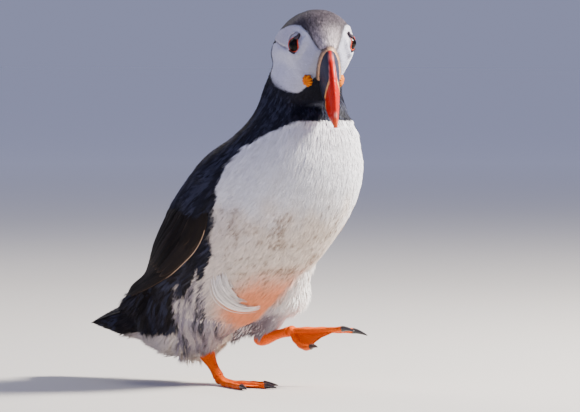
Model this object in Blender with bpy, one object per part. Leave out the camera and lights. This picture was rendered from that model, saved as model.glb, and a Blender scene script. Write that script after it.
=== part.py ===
"""A life-size Atlantic puffin in mid-step: it stands on its right foot and lifts the left one.

The bird walks towards -Y, with +Z up and its own left side towards +X. The floor is z = 0. Its trunk, neck
and head are lofted, blended into one form and then parted by thin cuts. Wings, tail, legs and the parts of
the head are solids of their own that meet that form with a small gap. Lengths are in millimetres until they
are placed.
"""

import math
from collections import namedtuple

import bmesh
import bpy
from mathutils import Matrix, Vector
from mathutils.bvhtree import BVHTree

MM = 0.001
MIDDLE_FORWARD = 8.86  # where the middle of the bird's bounding box lies, in the bird's own directions
MIDDLE_LEFT = -0.03
GAP = 0.3  # clear space between neighbouring pieces
BODY_FACES = 1900  # triangles of the blended form before it is parted
BLEND_STEP = 1.6  # size of the grid that the trunk, head and shins are blended on
BLEND_ROUNDS = 9  # of smoothing

# Driving sizes of the bird, in millimetres, and of its pose, in degrees.
HEAD_CENTRE = (74.0, -3.0, 191.0)  # forward, left, up
HEAD_TURN = 35.0  # to its right
HEAD_NOD = 20.0
EYE_RADIUS = 4.8
EYE_CENTRE = (10.0, 14.4, 8.5)  # forward, outward, up in the head's own frame
CHEEK_TAPER = 0.2  # share by which the face narrows below its widest level
BILL_TOP = (26.0, 12.5)  # forward and up of the bill's root, at the forehead
BILL_CHIN = (16.2, -23.2)
BILL_TIP = (55.4, -25.4)
LOWER_TIP = (52.8, -26.2)
CULMEN_BEND = (53.2, 2.6)
UPPER_EDGE_BEND = (41.0, -14.6)
LOWER_EDGE_BEND = (40.6, -15.6)
GONYS_BEND = (38.0, -32.5)
BILL_HALF_WIDTH = 5.0
BILL_RIDGE = 1.2  # least half width of the rounded ridge of the upper mandible
CERE_THICKNESS = 2.6
# Where the cere, the upper and the lower mandible end on the root line, as shares from chin to forehead.
CERE_LOW_SHARE = 0.42
UPPER_LOW_SHARE = 0.44
LOWER_HIGH_SHARE = 0.385
GAPE_CENTRE = (20.0, 10.6, -9.5)  # forward, outward, up in the head's own frame
GAPE_REACH = (4.4, 3.4, 4.8)
GAPE_TURN = 38.0
HEAD_CUT_LEVEL = -20.5  # of the cut between head and neck under the middle of the head
HEAD_CUT_NORMAL = (0.264, 0.0, 0.964)
COLLAR_POINT = (61.5, 0.0, 139.0)  # forward, left, up of a point on the cut between neck and trunk
COLLAR_SLOPE = 0.45  # how fast that cut rises towards the breast
TARSUS_RADIUS = 3.0
HEEL_OVERRUN = 3.4  # how far the bare shank runs up into the plumage
KNUCKLE_RADIUS = 3.1  # at the root of the toes
TOE_RADIUS = 1.9
SOLE_HEIGHT = 1.45  # of a toe's middle line over the floor, less than its radius so that it stands on a flat
CLAW_LENGTH = 7.5
WEB_THICKNESS = 0.9
WING_SLOPE = (0.84, 0.54)  # forward and up of the folded wing's length
WING_CUT = (-29.0, 0.0, 58.0)  # forward, left, up of a point on the cut at the end of the coverts
WING_EDGE = 1.3  # how far the rim of the folded wing stands over the trunk
WING_DEPTH = 3.0  # how far the wing's solid reaches into the trunk before it is cut back
WING_FACING = (0.62, 0.30, 0.72)  # outward, back and up: the way the flat of the flight feathers faces

# The legs: forward, left, up of the toes' root, of the top of the bare shank and of the knee in the plumage.
FOOT_STANDING = (3.3, -4.0, 3.6)
ANKLE_STANDING = (-7.7, -4.0, 19.0)
KNEE_STANDING = (8.0, -19.0, 62.0)
FOOT_RAISED = (36.5, 20.0, 31.5)
ANKLE_RAISED = (13.0, 20.0, 26.0)
KNEE_RAISED = (33.0, 22.0, 70.0)
SHIN_CUT_RADIUS = 19.5
SHIN_CUT_REACH = 31.0
SHIN_RADII = (8.0, 14.5, 16.8, 15.0, 11.8, 8.8, 6.4)

# A cross-section of the trunk or neck, square to the spine: where its centre lies, and its reach each way.
Section = namedtuple("Section", "forward up width dorsal ventral")
SPINE = (
    Section(-62.0, 25.0, 3.0, 2.0, 2.0),
    Section(-50.0, 30.5, 17.0, 10.0, 14.5),
    Section(-29.0, 40.0, 30.5, 21.0, 27.5),
    Section(-5.0, 57.0, 39.5, 32.5, 36.5),
    Section(16.0, 80.0, 43.5, 37.0, 39.8),
    Section(36.0, 104.0, 45.0, 37.5, 43.4),
    Section(53.0, 126.0, 42.5, 32.5, 43.5),
    Section(60.0, 145.0, 35.5, 29.5, 36.5),
    Section(62.0, 158.0, 27.5, 27.5, 26.0),
    Section(64.0, 170.0, 23.5, 24.0, 20.5),
    Section(68.0, 181.0, 21.5, 21.0, 17.0),
)

# A cross-section of the head, square to the line of the bill.
Slice = namedtuple("Slice", "forward width top middle bottom")
SKULL = (
    Slice(-27.0, 3.0, 0.0, -4.0, -8.0),
    Slice(-22.5, 15.0, 11.5, -5.0, -15.0),
    Slice(-14.0, 23.6, 19.6, -8.0, -20.0),
    Slice(-6.0, 24.0, 23.8, -5.0, -22.0),
    Slice(2.0, 22.4, 25.0, 1.0, -23.0),
    Slice(10.0, 19.3, 23.6, 4.0, -23.5),
    Slice(17.0, 13.6, 19.6, 2.0, -23.5),
    Slice(23.0, 9.0, 14.8, -2.0, -23.5),
    Slice(30.0, 5.4, 11.0, -4.0, -22.5),
)

BLACK = (0.020, 0.019, 0.024)
WHITE = (0.78, 0.76, 0.74)
GREY = (0.42, 0.41, 0.44)
ORANGE = (0.80, 0.19, 0.015)
CLAW_BLACK = (0.018, 0.016, 0.016)
RED = (0.72, 0.06, 0.02)
CREAM = (0.72, 0.45, 0.25)
GAPE_YELLOW = (0.80, 0.40, 0.03)
EYE_BROWN = (0.030, 0.018, 0.014)


def body_point(forward, left, up):
    """A point given in the bird's own directions, in millimetres, as a place in the model in metres."""
    return Vector((left + MIDDLE_LEFT, MIDDLE_FORWARD - forward, up)) * MM


def body_direction(forward, left, up):
    """A unit direction given in the bird's own directions."""
    return Vector((left, -forward, up)).normalized()


def head_matrix():
    """Carries head coordinates (forward, left, up, in millimetres) to metres in the model."""
    turn = Matrix.Rotation(math.radians(-HEAD_TURN), 4, "Z")
    nod = Matrix.Rotation(math.radians(HEAD_NOD), 4, "X")
    axes = Matrix(((0, 1, 0, 0), (-1, 0, 0, 0), (0, 0, 1, 0), (0, 0, 0, 1)))
    return Matrix.Translation(body_point(*HEAD_CENTRE)) @ turn @ nod @ axes @ Matrix.Scale(MM, 4)


def material(name, colour, roughness):
    made = bpy.data.materials.new(name)
    made.use_nodes = True
    shader = made.node_tree.nodes["Principled BSDF"]
    shader.inputs["Base Color"].default_value = (*colour, 1.0)
    shader.inputs["Roughness"].default_value = roughness
    made.diffuse_color = (*colour, 1.0)
    return made


def new_object(name, mesh, colour=WHITE, roughness=0.6):
    made = bpy.data.objects.new(name, mesh)
    bpy.context.scene.collection.objects.link(made)
    made.data.materials.append(material(name, colour, roughness))
    return made


def smooth_between(stations, share):
    """The station at a share of the way along the row, on a Catmull-Rom spline through all of them."""
    last = len(stations) - 1
    place = min(max(share * last, 0.0), last - 1e-9)
    first = int(place)
    t = place - first
    p0 = stations[max(first - 1, 0)]
    p1 = stations[first]
    p2 = stations[first + 1]
    p3 = stations[min(first + 2, last)]
    values = []
    for a, b, c, d in zip(p0, p1, p2, p3):
        bend = 2 * a - 5 * b + 4 * c - d
        twist = 3 * b - a - 3 * c + d
        values.append(0.5 * (2 * b + (c - a) * t + bend * t * t + twist * t**3))
    return type(p1)(*values) if hasattr(p1, "_fields") else tuple(values)


def loft(name, rings, colour=WHITE):
    """A closed solid through rings of equal length, each end closed by a flat face."""
    count = len(rings[0])
    mesh = bmesh.new()
    rows = [[mesh.verts.new(point) for point in ring] for ring in rings]
    for lower, upper in zip(rows, rows[1:]):
        for i in range(count):
            j = (i + 1) % count
            mesh.faces.new((lower[i], lower[j], upper[j], upper[i]))
    mesh.faces.new(list(reversed(rows[0])))
    mesh.faces.new(rows[-1])
    bmesh.ops.recalc_face_normals(mesh, faces=mesh.faces)
    return finished(name, mesh, colour)


def finished(name, mesh, colour=WHITE):
    """Turns a bmesh with triangulated flat ends into a smooth-shaded object."""
    big = [face for face in mesh.faces if len(face.verts) > 4]
    bmesh.ops.triangulate(mesh, faces=big)
    data = bpy.data.meshes.new(name)
    mesh.to_mesh(data)
    mesh.free()
    data.shade_smooth()
    return new_object(name, data, colour)


def apply_modifiers(made):
    """Replaces an object's mesh by what its modifiers make of it."""
    bpy.context.view_layer.update()
    graph = bpy.context.evaluated_depsgraph_get()
    data = bpy.data.meshes.new_from_object(made.evaluated_get(graph), depsgraph=graph)
    made.modifiers.clear()
    made.data = data
    return made


def boolean(made, other, operation):
    """Cuts or joins an object by another one, which is then gone."""
    step = made.modifiers.new(operation.title(), "BOOLEAN")
    step.operation = operation
    step.solver = "EXACT"
    step.object = other
    apply_modifiers(made)
    bpy.data.objects.remove(other)
    return made


def copied(made, name):
    twin = made.copy()
    twin.data = made.data.copy()
    twin.name = name
    bpy.context.scene.collection.objects.link(twin)
    return twin


def inflated(made, by):
    """A copy of a form, grown by a distance along its normals."""
    twin = copied(made, "grown")
    step = twin.modifiers.new("Grow", "DISPLACE")
    step.strength = by * MM
    step.mid_level = 0.0
    return apply_modifiers(twin)


def trimmed(made, point, normal):
    """Cuts away what lies on the side that the normal points to, and closes the cut flat."""
    mesh = bmesh.new()
    mesh.from_mesh(made.data)
    geometry = mesh.verts[:] + mesh.edges[:] + mesh.faces[:]
    bmesh.ops.bisect_plane(mesh, geom=geometry, plane_co=point, plane_no=normal, clear_outer=True, dist=1e-6)
    rim = [edge for edge in mesh.edges if edge.is_boundary]
    bmesh.ops.triangle_fill(mesh, edges=rim, use_beauty=True)
    bmesh.ops.recalc_face_normals(mesh, faces=mesh.faces)
    mesh.to_mesh(made.data)
    mesh.free()
    return made


def recoloured(made, name, colour, roughness=0.6):
    made.name = name
    made.data.name = name
    made.data.materials.clear()
    made.data.materials.append(material(name, colour, roughness))
    return made


def spine_ring(section, ahead, count):
    """One ring of the trunk, square to the spine. ahead is the spine's direction there."""
    across = Vector((1, 0, 0))
    dorsal = Vector((0, ahead.z, -ahead.y)).normalized()
    if dorsal.z < 0 and dorsal.y < 0:
        dorsal = -dorsal
    centre = body_point(section.forward, 0, section.up)
    ring = []
    for i in range(count):
        angle = math.tau * i / count
        reach = section.dorsal if math.cos(angle) > 0 else section.ventral
        offset = dorsal * reach * math.cos(angle) + across * section.width * math.sin(angle)
        ring.append(centre + offset * MM)
    return ring


def spine_at(share):
    """The trunk's section at a share of its length, and the spine's direction there."""
    step = 0.01
    here = smooth_between(SPINE, share)
    before = smooth_between(SPINE, max(share - step, 0))
    after = smooth_between(SPINE, min(share + step, 1))
    ahead = body_point(after.forward, 0, after.up) - body_point(before.forward, 0, before.up)
    return here, ahead.normalized()


def trunk_and_neck():
    rows, sides = 40, 40
    rings = [spine_ring(*spine_at(i / rows), sides) for i in range(rows + 1)]
    return loft("trunk_and_neck", rings)


def skull():
    """The head's form, widest behind the eyes, its lower half narrower than its upper one."""
    rings = []
    rows, sides = 32, 36
    place = head_matrix()
    for i in range(rows + 1):
        part = smooth_between(SKULL, i / rows)
        ring = []
        for j in range(sides):
            angle = math.tau * j / sides
            rise = part.top - part.middle if math.cos(angle) > 0 else part.middle - part.bottom
            narrow = 1.0 - CHEEK_TAPER * max(0.0, -math.cos(angle))
            across = part.width * narrow * math.sin(angle)
            point = (part.forward, across, part.middle + rise * math.cos(angle))
            ring.append(place @ Vector(point))
        rings.append(ring)
    return loft("skull", rings)


def feathered_shin(knee, ankle):
    """The plumage round the shin, a tapering sleeve from the flank to the top of the bare shank."""
    top, end = body_point(*knee), body_point(*ankle)
    count = len(SHIN_RADII)
    points = [top + (end - top) * (i / (count - 1)) for i in range(count)]
    return tube("shin", points, SHIN_RADII, 20, WHITE, flat_axis=Vector((0, -1, 0.3)))


def blended_body():
    """Trunk, neck, head and the plumage of both shins as one smooth form."""
    body = boolean(trunk_and_neck(), skull(), "UNION")
    boolean(body, feathered_shin(KNEE_STANDING, ANKLE_STANDING), "UNION")
    boolean(body, feathered_shin(KNEE_RAISED, ANKLE_RAISED), "UNION")
    remesh = body.modifiers.new("Blend", "REMESH")
    remesh.mode = "VOXEL"
    remesh.voxel_size = BLEND_STEP * MM
    smooth = body.modifiers.new("Smooth", "SMOOTH")
    smooth.factor = 0.5
    smooth.iterations = BLEND_ROUNDS
    apply_modifiers(body)
    fewer = body.modifiers.new("Fewer", "DECIMATE")
    fewer.ratio = BODY_FACES / (2 * len(body.data.polygons))
    return apply_modifiers(body)


def tube(name, points, radii, sides, colour, squash=1.0, flat_axis=None):
    """A round tube through points, its radius changing along it. squash narrows it along flat_axis."""
    rings = []
    for i, point in enumerate(points):
        ahead = (points[min(i + 1, len(points) - 1)] - points[max(i - 1, 0)]).normalized()
        first = flat_axis if flat_axis is not None else Vector((0, 0, 1))
        side = ahead.cross(first).normalized()
        rise = side.cross(ahead).normalized()
        ring = []
        for j in range(sides):
            angle = math.tau * j / sides
            offset = side * math.cos(angle) + rise * squash * math.sin(angle)
            ring.append(point + offset * radii[i] * MM)
        rings.append(ring)
    return loft(name, rings, colour)


def bezier(start, bend, end, t):
    return [(1 - t) ** 2 * a + 2 * t * (1 - t) * b + t * t * c for a, b, c in zip(start, bend, end)]


def root_point(share):
    """A point on the slanting line where bill and feathers meet: share 0 at the chin, 1 at the forehead."""
    return [a + (b - a) * share for a, b in zip(BILL_CHIN, BILL_TOP)]


def bill_ring(low, high, half_width, ridge, count=7):
    """A ring of a mandible between its cutting edge and its ridge, widest at the cutting edge."""
    place = head_matrix()
    side = []
    for i in range(count):
        s = i / (count - 1)
        width = half_width * (1 - s**2.4) ** 0.5 if s < 1 else 0.0
        width = max(width, ridge * (1 - s) ** 0.25 if s < 1 else 0.0)
        side.append((low[0] + (high[0] - low[0]) * s, width, low[1] + (high[1] - low[1]) * s))
    left = [place @ Vector(point) for point in side]
    right = [place @ Vector((f, -w, u)) for f, w, u in reversed(side[:-1])]
    return left + right


def bill_width(t):
    """Half the bill's width at a share of its length from root to tip."""
    return BILL_HALF_WIDTH * (1 - t) ** 0.75 + 0.7


def upper_bill():
    """The upper mandible, from the cere to its hooked tip."""
    start = CERE_THICKNESS + 2 * GAP
    root_high = (BILL_TOP[0] + start, BILL_TOP[1] - 0.4)
    root_low = root_point(UPPER_LOW_SHARE)
    root_low = (root_low[0] + start, root_low[1])
    rings = []
    for i in range(11):
        t = 0.97 * i / 10
        high = bezier(root_high, CULMEN_BEND, BILL_TIP, t)
        low = bezier(root_low, UPPER_EDGE_BEND, (BILL_TIP[0] - 0.9, BILL_TIP[1] - 0.4), t)
        rings.append(bill_ring(low, high, bill_width(t), BILL_RIDGE))
    return loft("bill_upper", rings, RED)


def lower_bill():
    """The lower mandible, closed under the upper one."""
    root_high = root_point(LOWER_HIGH_SHARE)
    root_high = (root_high[0] + GAP, root_high[1])
    root_low = (BILL_CHIN[0] + GAP + 0.3, BILL_CHIN[1] + 0.5)
    rings = []
    for i in range(9):
        t = 0.96 * i / 8
        high = bezier(root_high, LOWER_EDGE_BEND, LOWER_TIP, t)
        low = bezier(root_low, GONYS_BEND, (LOWER_TIP[0] - 0.5, LOWER_TIP[1] - 0.9), t)
        rings.append(bill_ring(high, low, bill_width(t) - 0.5, 1.0))
    return loft("bill_lower", rings, RED)


def cere():
    """The pale raised rim between the forehead and the horn of the upper mandible."""
    rings = []
    low = root_point(CERE_LOW_SHARE)
    for share in (0.0, 0.5, 1.0):
        forward = GAP + CERE_THICKNESS * share
        swell = 1.0 + 0.6 * math.sin(math.pi * share)
        high = (BILL_TOP[0] + forward, BILL_TOP[1] + swell * 0.6)
        foot = (low[0] + forward, low[1] - 0.2)
        ring = bill_ring(foot, high, BILL_HALF_WIDTH + 0.7 * swell, 2.4)
        rings.append(ring)
    return loft("cere", rings, CREAM)


def eye(side, label):
    centre = head_matrix() @ Vector((EYE_CENTRE[0], side * EYE_CENTRE[1], EYE_CENTRE[2]))
    mesh = bmesh.new()
    bmesh.ops.create_uvsphere(mesh, u_segments=14, v_segments=8, radius=EYE_RADIUS * MM)
    bmesh.ops.translate(mesh, verts=mesh.verts, vec=centre)
    return finished(f"eye_{label}", mesh, EYE_BROWN)


def socket_cutter(side):
    cutter = eye(side, "socket")
    centre = head_matrix() @ Vector((EYE_CENTRE[0], side * EYE_CENTRE[1], EYE_CENTRE[2]))
    grow = (EYE_RADIUS + GAP) / EYE_RADIUS
    cutter.data.transform(Matrix.Translation(centre) @ Matrix.Scale(grow, 4) @ Matrix.Translation(-centre))
    return cutter


def gape_rosette(side, label, body):
    """The fleshy yellow fold at the corner of the mouth, a flat bun on the cheek."""
    mesh = bmesh.new()
    bmesh.ops.create_uvsphere(mesh, u_segments=12, v_segments=7, radius=1.0)
    shape = Matrix.Diagonal((*GAPE_REACH, 1.0))
    forward, outward, up = GAPE_CENTRE
    place = head_matrix() @ Matrix.Translation((forward, side * outward, up))
    tilt = Matrix.Rotation(math.radians(-side * GAPE_TURN), 4, "Z")
    bmesh.ops.transform(mesh, matrix=place @ tilt @ shape, verts=mesh.verts)
    made = finished(f"gape_{label}", mesh, GAPE_YELLOW)
    return boolean(made, inflated(body, GAP), "DIFFERENCE")


def largest_piece(made):
    """Keeps the largest of the separate bodies that a cut left."""
    mesh = bmesh.new()
    mesh.from_mesh(made.data)
    mesh.verts.ensure_lookup_table()
    seen, groups = set(), []
    for start in mesh.verts:
        if start in seen:
            continue
        group, waiting = set(), [start]
        while waiting:
            vertex = waiting.pop()
            if vertex in group:
                continue
            group.add(vertex)
            waiting += [edge.other_vert(vertex) for edge in vertex.link_edges]
        seen |= group
        groups.append(group)
    keep = max(groups, key=len)
    bmesh.ops.delete(mesh, geom=[v for v in mesh.verts if v not in keep], context="VERTS")
    mesh.to_mesh(made.data)
    mesh.free()
    return made


def surface_point(tree, share, angle, height):
    """A point over the plumage: a share of the spine, an angle from the back, a height over the surface."""
    section, ahead = spine_at(share)
    centre = body_point(section.forward, 0, section.up)
    dorsal = Vector((0, ahead.z, -ahead.y)).normalized()
    outward = dorsal * math.cos(angle) + Vector((1, 0, 0)) * math.sin(angle)
    far = 200 * MM
    spot, normal, _, _ = tree.ray_cast(centre + outward * far, -outward, far)
    return spot + (normal + outward).normalized() * height * MM


# Where the folded wing lies: share of the spine, angles of its upper and lower edge from the back, thickness.
Fold = namedtuple("Fold", "share upper lower thickness")
WING = (
    Fold(0.715, 44.0, 55.0, 0.2),
    Fold(0.670, 34.0, 69.0, 1.4),
    Fold(0.600, 27.0, 81.0, 3.0),
    Fold(0.520, 20.0, 89.0, 4.2),
    Fold(0.420, 14.0, 95.0, 4.6),
    Fold(0.330, 9.0, 94.0, 4.4),
    Fold(0.250, 8.0, 80.0, 3.6),
    Fold(0.185, 10.0, 46.0, 2.2),
)


def wing_shield(side, tree):
    """The arm and coverts of the folded wing: a shield that lies over the side of the trunk."""
    rings = []
    rows, columns = 12, 8
    for i in range(rows + 1):
        fold = smooth_between(WING, i / rows)
        outer, inner = [], []
        for j in range(columns + 1):
            s = j / columns
            angle = side * math.radians(fold.upper + (fold.lower - fold.upper) * s)
            dome = (1 - abs(2 * s - 1) ** 3.2) ** 0.6
            outer.append(surface_point(tree, fold.share, angle, WING_EDGE + fold.thickness * dome))
            inner.append(surface_point(tree, fold.share, angle, -WING_DEPTH))
        rings.append(outer + list(reversed(inner)))
    return loft("shield", rings, BLACK)


# A cross-section of the bundle of flight feathers: its centre, on the left side, and its reach each way.
Bundle = namedtuple("Bundle", "forward left up width thickness")
FLIGHT_FEATHERS = (
    Bundle(4.0, 34.0, 80.0, 7.0, 3.0),
    Bundle(-14.0, 33.0, 68.0, 11.5, 3.4),
    Bundle(-32.0, 27.0, 59.0, 12.0, 3.0),
    Bundle(-48.0, 19.0, 51.5, 9.2, 2.2),
    Bundle(-60.0, 12.5, 46.5, 5.4, 1.6),
    Bundle(-66.0, 9.5, 44.0, 1.4, 0.7),
)


def flight_feathers(side):
    """The long feathers that reach from under the coverts to the wing's tip over the tail."""
    rings = []
    count = 10
    for i in range(count + 1):
        here = smooth_between(FLIGHT_FEATHERS, i / count)
        later = smooth_between(FLIGHT_FEATHERS, min(i / count + 0.02, 1.0))
        earlier = smooth_between(FLIGHT_FEATHERS, max(i / count - 0.02, 0.0))
        centre = body_point(here.forward, side * here.left, here.up)
        ahead = body_point(later.forward, side * later.left, later.up)
        ahead = (ahead - body_point(earlier.forward, side * earlier.left, earlier.up)).normalized()
        span = ahead.cross(Vector((side * WING_FACING[0], WING_FACING[1], WING_FACING[2]))).normalized()
        lift = span.cross(ahead).normalized()
        ring = []
        for j in range(10):
            angle = math.tau * j / 10
            offset = span * here.width * math.cos(angle) + lift * here.thickness * math.sin(angle)
            ring.append(centre + offset * MM)
        rings.append(ring)
    return loft("flight", rings, BLACK)


def folded_wing(side, label, body, tail_solid):
    """The folded wing in two pieces, cut across where the long feathers leave the coverts."""
    tree = BVHTree.FromObject(body, bpy.context.evaluated_depsgraph_get())
    whole = boolean(wing_shield(side, tree), flight_feathers(side), "UNION")
    boolean(whole, inflated(body, GAP), "DIFFERENCE")
    boolean(whole, inflated(tail_solid, GAP), "DIFFERENCE")
    along = body_direction(-WING_SLOPE[0], 0.0, -WING_SLOPE[1])
    spot = body_point(*WING_CUT)
    tip = copied(whole, f"primaries_{label}")
    trimmed(whole, spot - along * GAP * MM / 2, along)
    trimmed(tip, spot + along * GAP * MM / 2, -along)
    recoloured(largest_piece(whole), f"wing_{label}", BLACK)
    recoloured(largest_piece(tip), f"primaries_{label}", BLACK)


# A cross-section of the tail: where its centre lies, and half its width and thickness.
Fan = namedtuple("Fan", "forward up width thickness")
TAIL = (
    Fan(-44.0, 36.0, 17.0, 15.0),
    Fan(-55.0, 36.0, 19.0, 13.6),
    Fan(-67.0, 35.8, 19.5, 9.6),
    Fan(-79.0, 34.9, 18.0, 4.9),
    Fan(-87.0, 33.8, 14.0, 2.4),
    Fan(-93.5, 33.0, 7.0, 0.9),
)
TAIL_ARCH = 0.10  # how far its sides droop, as a share of half its width


def tail(body):
    """The short fan of stiff tail feathers with its coverts."""
    rings = []
    rows, sides = 9, 16
    for i in range(rows + 1):
        fan = smooth_between(TAIL, i / rows)
        ring = []
        for j in range(sides):
            angle = math.tau * j / sides
            droop = TAIL_ARCH * fan.width * math.sin(angle) ** 2
            rise = fan.thickness * math.cos(angle) - droop
            ring.append(body_point(fan.forward, fan.width * math.sin(angle), fan.up + rise))
        rings.append(ring)
    made = loft("tail", rings, BLACK)
    return largest_piece(boolean(made, inflated(body, GAP), "DIFFERENCE"))


def tarsus(label, ankle, foot):
    """The bare shank: a flattened rod, thicker at the heel and at the root of the toes."""
    heel, toe = body_point(*ankle), body_point(*foot)
    shank = (toe - heel).normalized()
    length = (toe - heel).length - (KNUCKLE_RADIUS + 0.1 + GAP) * MM
    back = HEEL_OVERRUN * MM
    shares = (0.0, 0.07, 0.16, 0.3, 0.45, 0.6, 0.75, 0.9, 1.0)
    swell = (-1.4, 0.4, 1.2, 1.4, 0.8, 0.2, 0.0, 0.2, 0.5)
    points = [heel + shank * (share * (length + back) - back) for share in shares]
    radii = [TARSUS_RADIUS + more for more in swell]
    return tube(f"tarsus_{label}", points, radii, 10, ORANGE, 0.8, Vector((1, 0, 0)))


# A toe: its splay towards the midline in degrees, its length without the claw, and, for the raised foot, how
# steeply it drops at its root and at its tip, in degrees.
Toe = namedtuple("Toe", "name splay length drop_root drop_tip")
TOES = (
    Toe("inner", 28.0, 27.0, 56.0, -14.0),
    Toe("middle", 2.0, 36.5, 4.0, -4.0),
    Toe("outer", -24.0, 36.0, 0.0, 6.0),
)


class Foot:
    """A webbed foot of three toes. Its own frame starts at their root: forward, towards the midline, up."""

    def __init__(self, label, side, root, heading, pitch, standing):
        self.label = label
        self.standing = standing
        turn = Matrix.Rotation(math.radians(heading), 4, "Z")
        tip = Matrix.Rotation(math.radians(pitch), 4, "X")
        axes = Matrix(((0, -side, 0, 0), (-1, 0, 0, 0), (0, 0, 1, 0), (0, 0, 0, 1)))
        self.place = Matrix.Translation(body_point(*root)) @ turn @ tip @ axes @ Matrix.Scale(MM, 4)
        self.root_height = root[2]

    def toe_point(self, toe, along):
        """A point on a toe's middle line, a distance from the root."""
        if self.standing:
            settle = min(along / 8.0, 1.0)
            reach = along
            low = -(self.root_height - SOLE_HEIGHT) * (3 * settle**2 - 2 * settle**3)
        else:
            reach, low = 0.0, 0.0
            steps = 16
            for i in range(steps):
                share = min((i + 0.5) / steps * along / toe.length, 1.0)
                drop = math.radians(toe.drop_root + (toe.drop_tip - toe.drop_root) * share)
                reach += along / steps * math.cos(drop)
                low -= along / steps * math.sin(drop)
        angle = math.radians(toe.splay)
        return Vector((reach * math.cos(angle), reach * math.sin(angle), low))

    def toe(self, toe):
        """One toe with the swellings of its joints."""
        points, radii = [], []
        for i in range(6):
            along = toe.length * i / 5
            knuckle = 0.3 * math.cos(math.tau * 2 * i / 5) ** 2
            taper = 1.0 - 0.22 * i / 5
            points.append(self.place @ self.toe_point(toe, along))
            radii.append((TOE_RADIUS + knuckle) * taper)
        return tube(f"toe_{toe.name}", points, radii, 7, ORANGE)

    def web(self, first, second):
        """The skin between two toes, its free edge curved in."""
        lengths, columns = 6, 3
        rows = []
        for i in range(1, lengths + 1):
            row = []
            for j in range(columns + 1):
                across = j / columns
                cut = 1.0 - 0.22 * math.sin(math.pi * across)
                share = 0.93 * i / lengths * cut
                a = self.toe_point(first, first.length * share)
                b = self.toe_point(second, second.length * share)
                row.append(a + (b - a) * across)
            rows.append(row)
        half = Vector((0, 0, WEB_THICKNESS / 2))
        rings = []
        for row in rows:
            upper = [self.place @ (point + half) for point in row]
            lower = [self.place @ (point - half) for point in reversed(row)]
            rings.append(upper + lower)
        return loft("web", rings, ORANGE)

    def build(self):
        """The toes, both webs and the knuckle at their root as one solid, flat underneath where it stands."""
        mesh = bmesh.new()
        bmesh.ops.create_uvsphere(mesh, u_segments=10, v_segments=6, radius=KNUCKLE_RADIUS)
        bmesh.ops.transform(mesh, matrix=self.place, verts=mesh.verts)
        made = finished(f"foot_{self.label}", mesh, ORANGE)
        for toe in TOES:
            boolean(made, self.toe(toe), "UNION")
        boolean(made, self.web(TOES[0], TOES[1]), "UNION")
        boolean(made, self.web(TOES[1], TOES[2]), "UNION")
        if self.standing:
            trimmed(made, Vector((0, 0, 0)), Vector((0, 0, -1)))
        return recoloured(made, f"foot_{self.label}", ORANGE, 0.5)

    def claw(self, toe):
        """A curved claw at the end of a toe."""
        points, radii = [], []
        for i in range(5):
            share = i / 4
            sag = (0.9 if self.standing else 2.2) * share**1.8
            lift = 0.35 if self.standing else 0.0
            base = self.toe_point(toe, toe.length + GAP + CLAW_LENGTH * share)
            points.append(self.place @ (base + Vector((0, 0, lift - sag))))
            radii.append(1.35 * (1 - share) ** 0.8 + 0.22)
        return tube(f"claw_{self.label}_{toe.name}", points, radii, 6, CLAW_BLACK)


def parted_body(body):
    """Cuts the blended form into head, neck and trunk, with thin gaps between them."""
    place = head_matrix()
    turned = place.to_3x3().normalized()
    cut_normal = turned @ Vector(HEAD_CUT_NORMAL)
    cut_point = place @ Vector((0.0, 0.0, HEAD_CUT_LEVEL))
    neck_point = body_point(*COLLAR_POINT)
    neck_normal = body_direction(-COLLAR_SLOPE, 0.0, 1.0)
    half_gap = GAP * MM / 2
    head = copied(body, "head")
    trimmed(head, cut_point + cut_normal * half_gap, -cut_normal)
    neck = copied(body, "neck")
    trimmed(neck, cut_point - cut_normal * half_gap, cut_normal)
    trimmed(neck, neck_point + neck_normal * half_gap, -neck_normal)
    trunk = copied(body, "trunk")
    trimmed(trunk, neck_point - neck_normal * half_gap, neck_normal)
    bill_normal = Vector((BILL_TOP[1] - BILL_CHIN[1], 0.0, BILL_CHIN[0] - BILL_TOP[0]))
    trimmed(head, place @ Vector((BILL_CHIN[0], 0.0, BILL_CHIN[1])), (turned @ bill_normal).normalized())
    for side in (1, -1):
        boolean(head, socket_cutter(side), "DIFFERENCE")
    recoloured(head, "head", GREY)
    recoloured(neck, "neck", BLACK)
    return recoloured(trunk, "trunk", WHITE)


def shin_cutter(knee, ankle, grow):
    """An egg that marks off what belongs to a leg. grow widens it."""
    top, end = body_point(*knee), body_point(*ankle)
    along = (end - top).normalized()
    centre = end - along * SHIN_CUT_REACH * MM * 0.6
    reach = (SHIN_CUT_REACH + grow) * MM
    across = (SHIN_CUT_RADIUS + grow) * MM
    mesh = bmesh.new()
    bmesh.ops.create_uvsphere(mesh, u_segments=16, v_segments=10, radius=1.0)
    turn = Vector((0, 0, 1)).rotation_difference(along).to_matrix().to_4x4()
    shape = Matrix.Diagonal((across, across, reach, 1.0))
    bmesh.ops.transform(mesh, matrix=Matrix.Translation(centre) @ turn @ shape, verts=mesh.verts)
    return finished("shin_cutter", mesh)


def parted_leg(label, knee, ankle, trunk, shank):
    """Takes the plumage of a shin off the trunk, and clears a pocket for the bare shank in both."""
    thigh = copied(trunk, f"thigh_{label}")
    boolean(thigh, shin_cutter(knee, ankle, 0.0), "INTERSECT")
    boolean(trunk, shin_cutter(knee, ankle, GAP), "DIFFERENCE")
    boolean(thigh, inflated(shank, GAP), "DIFFERENCE")
    return recoloured(largest_piece(thigh), f"thigh_{label}", WHITE)


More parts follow.
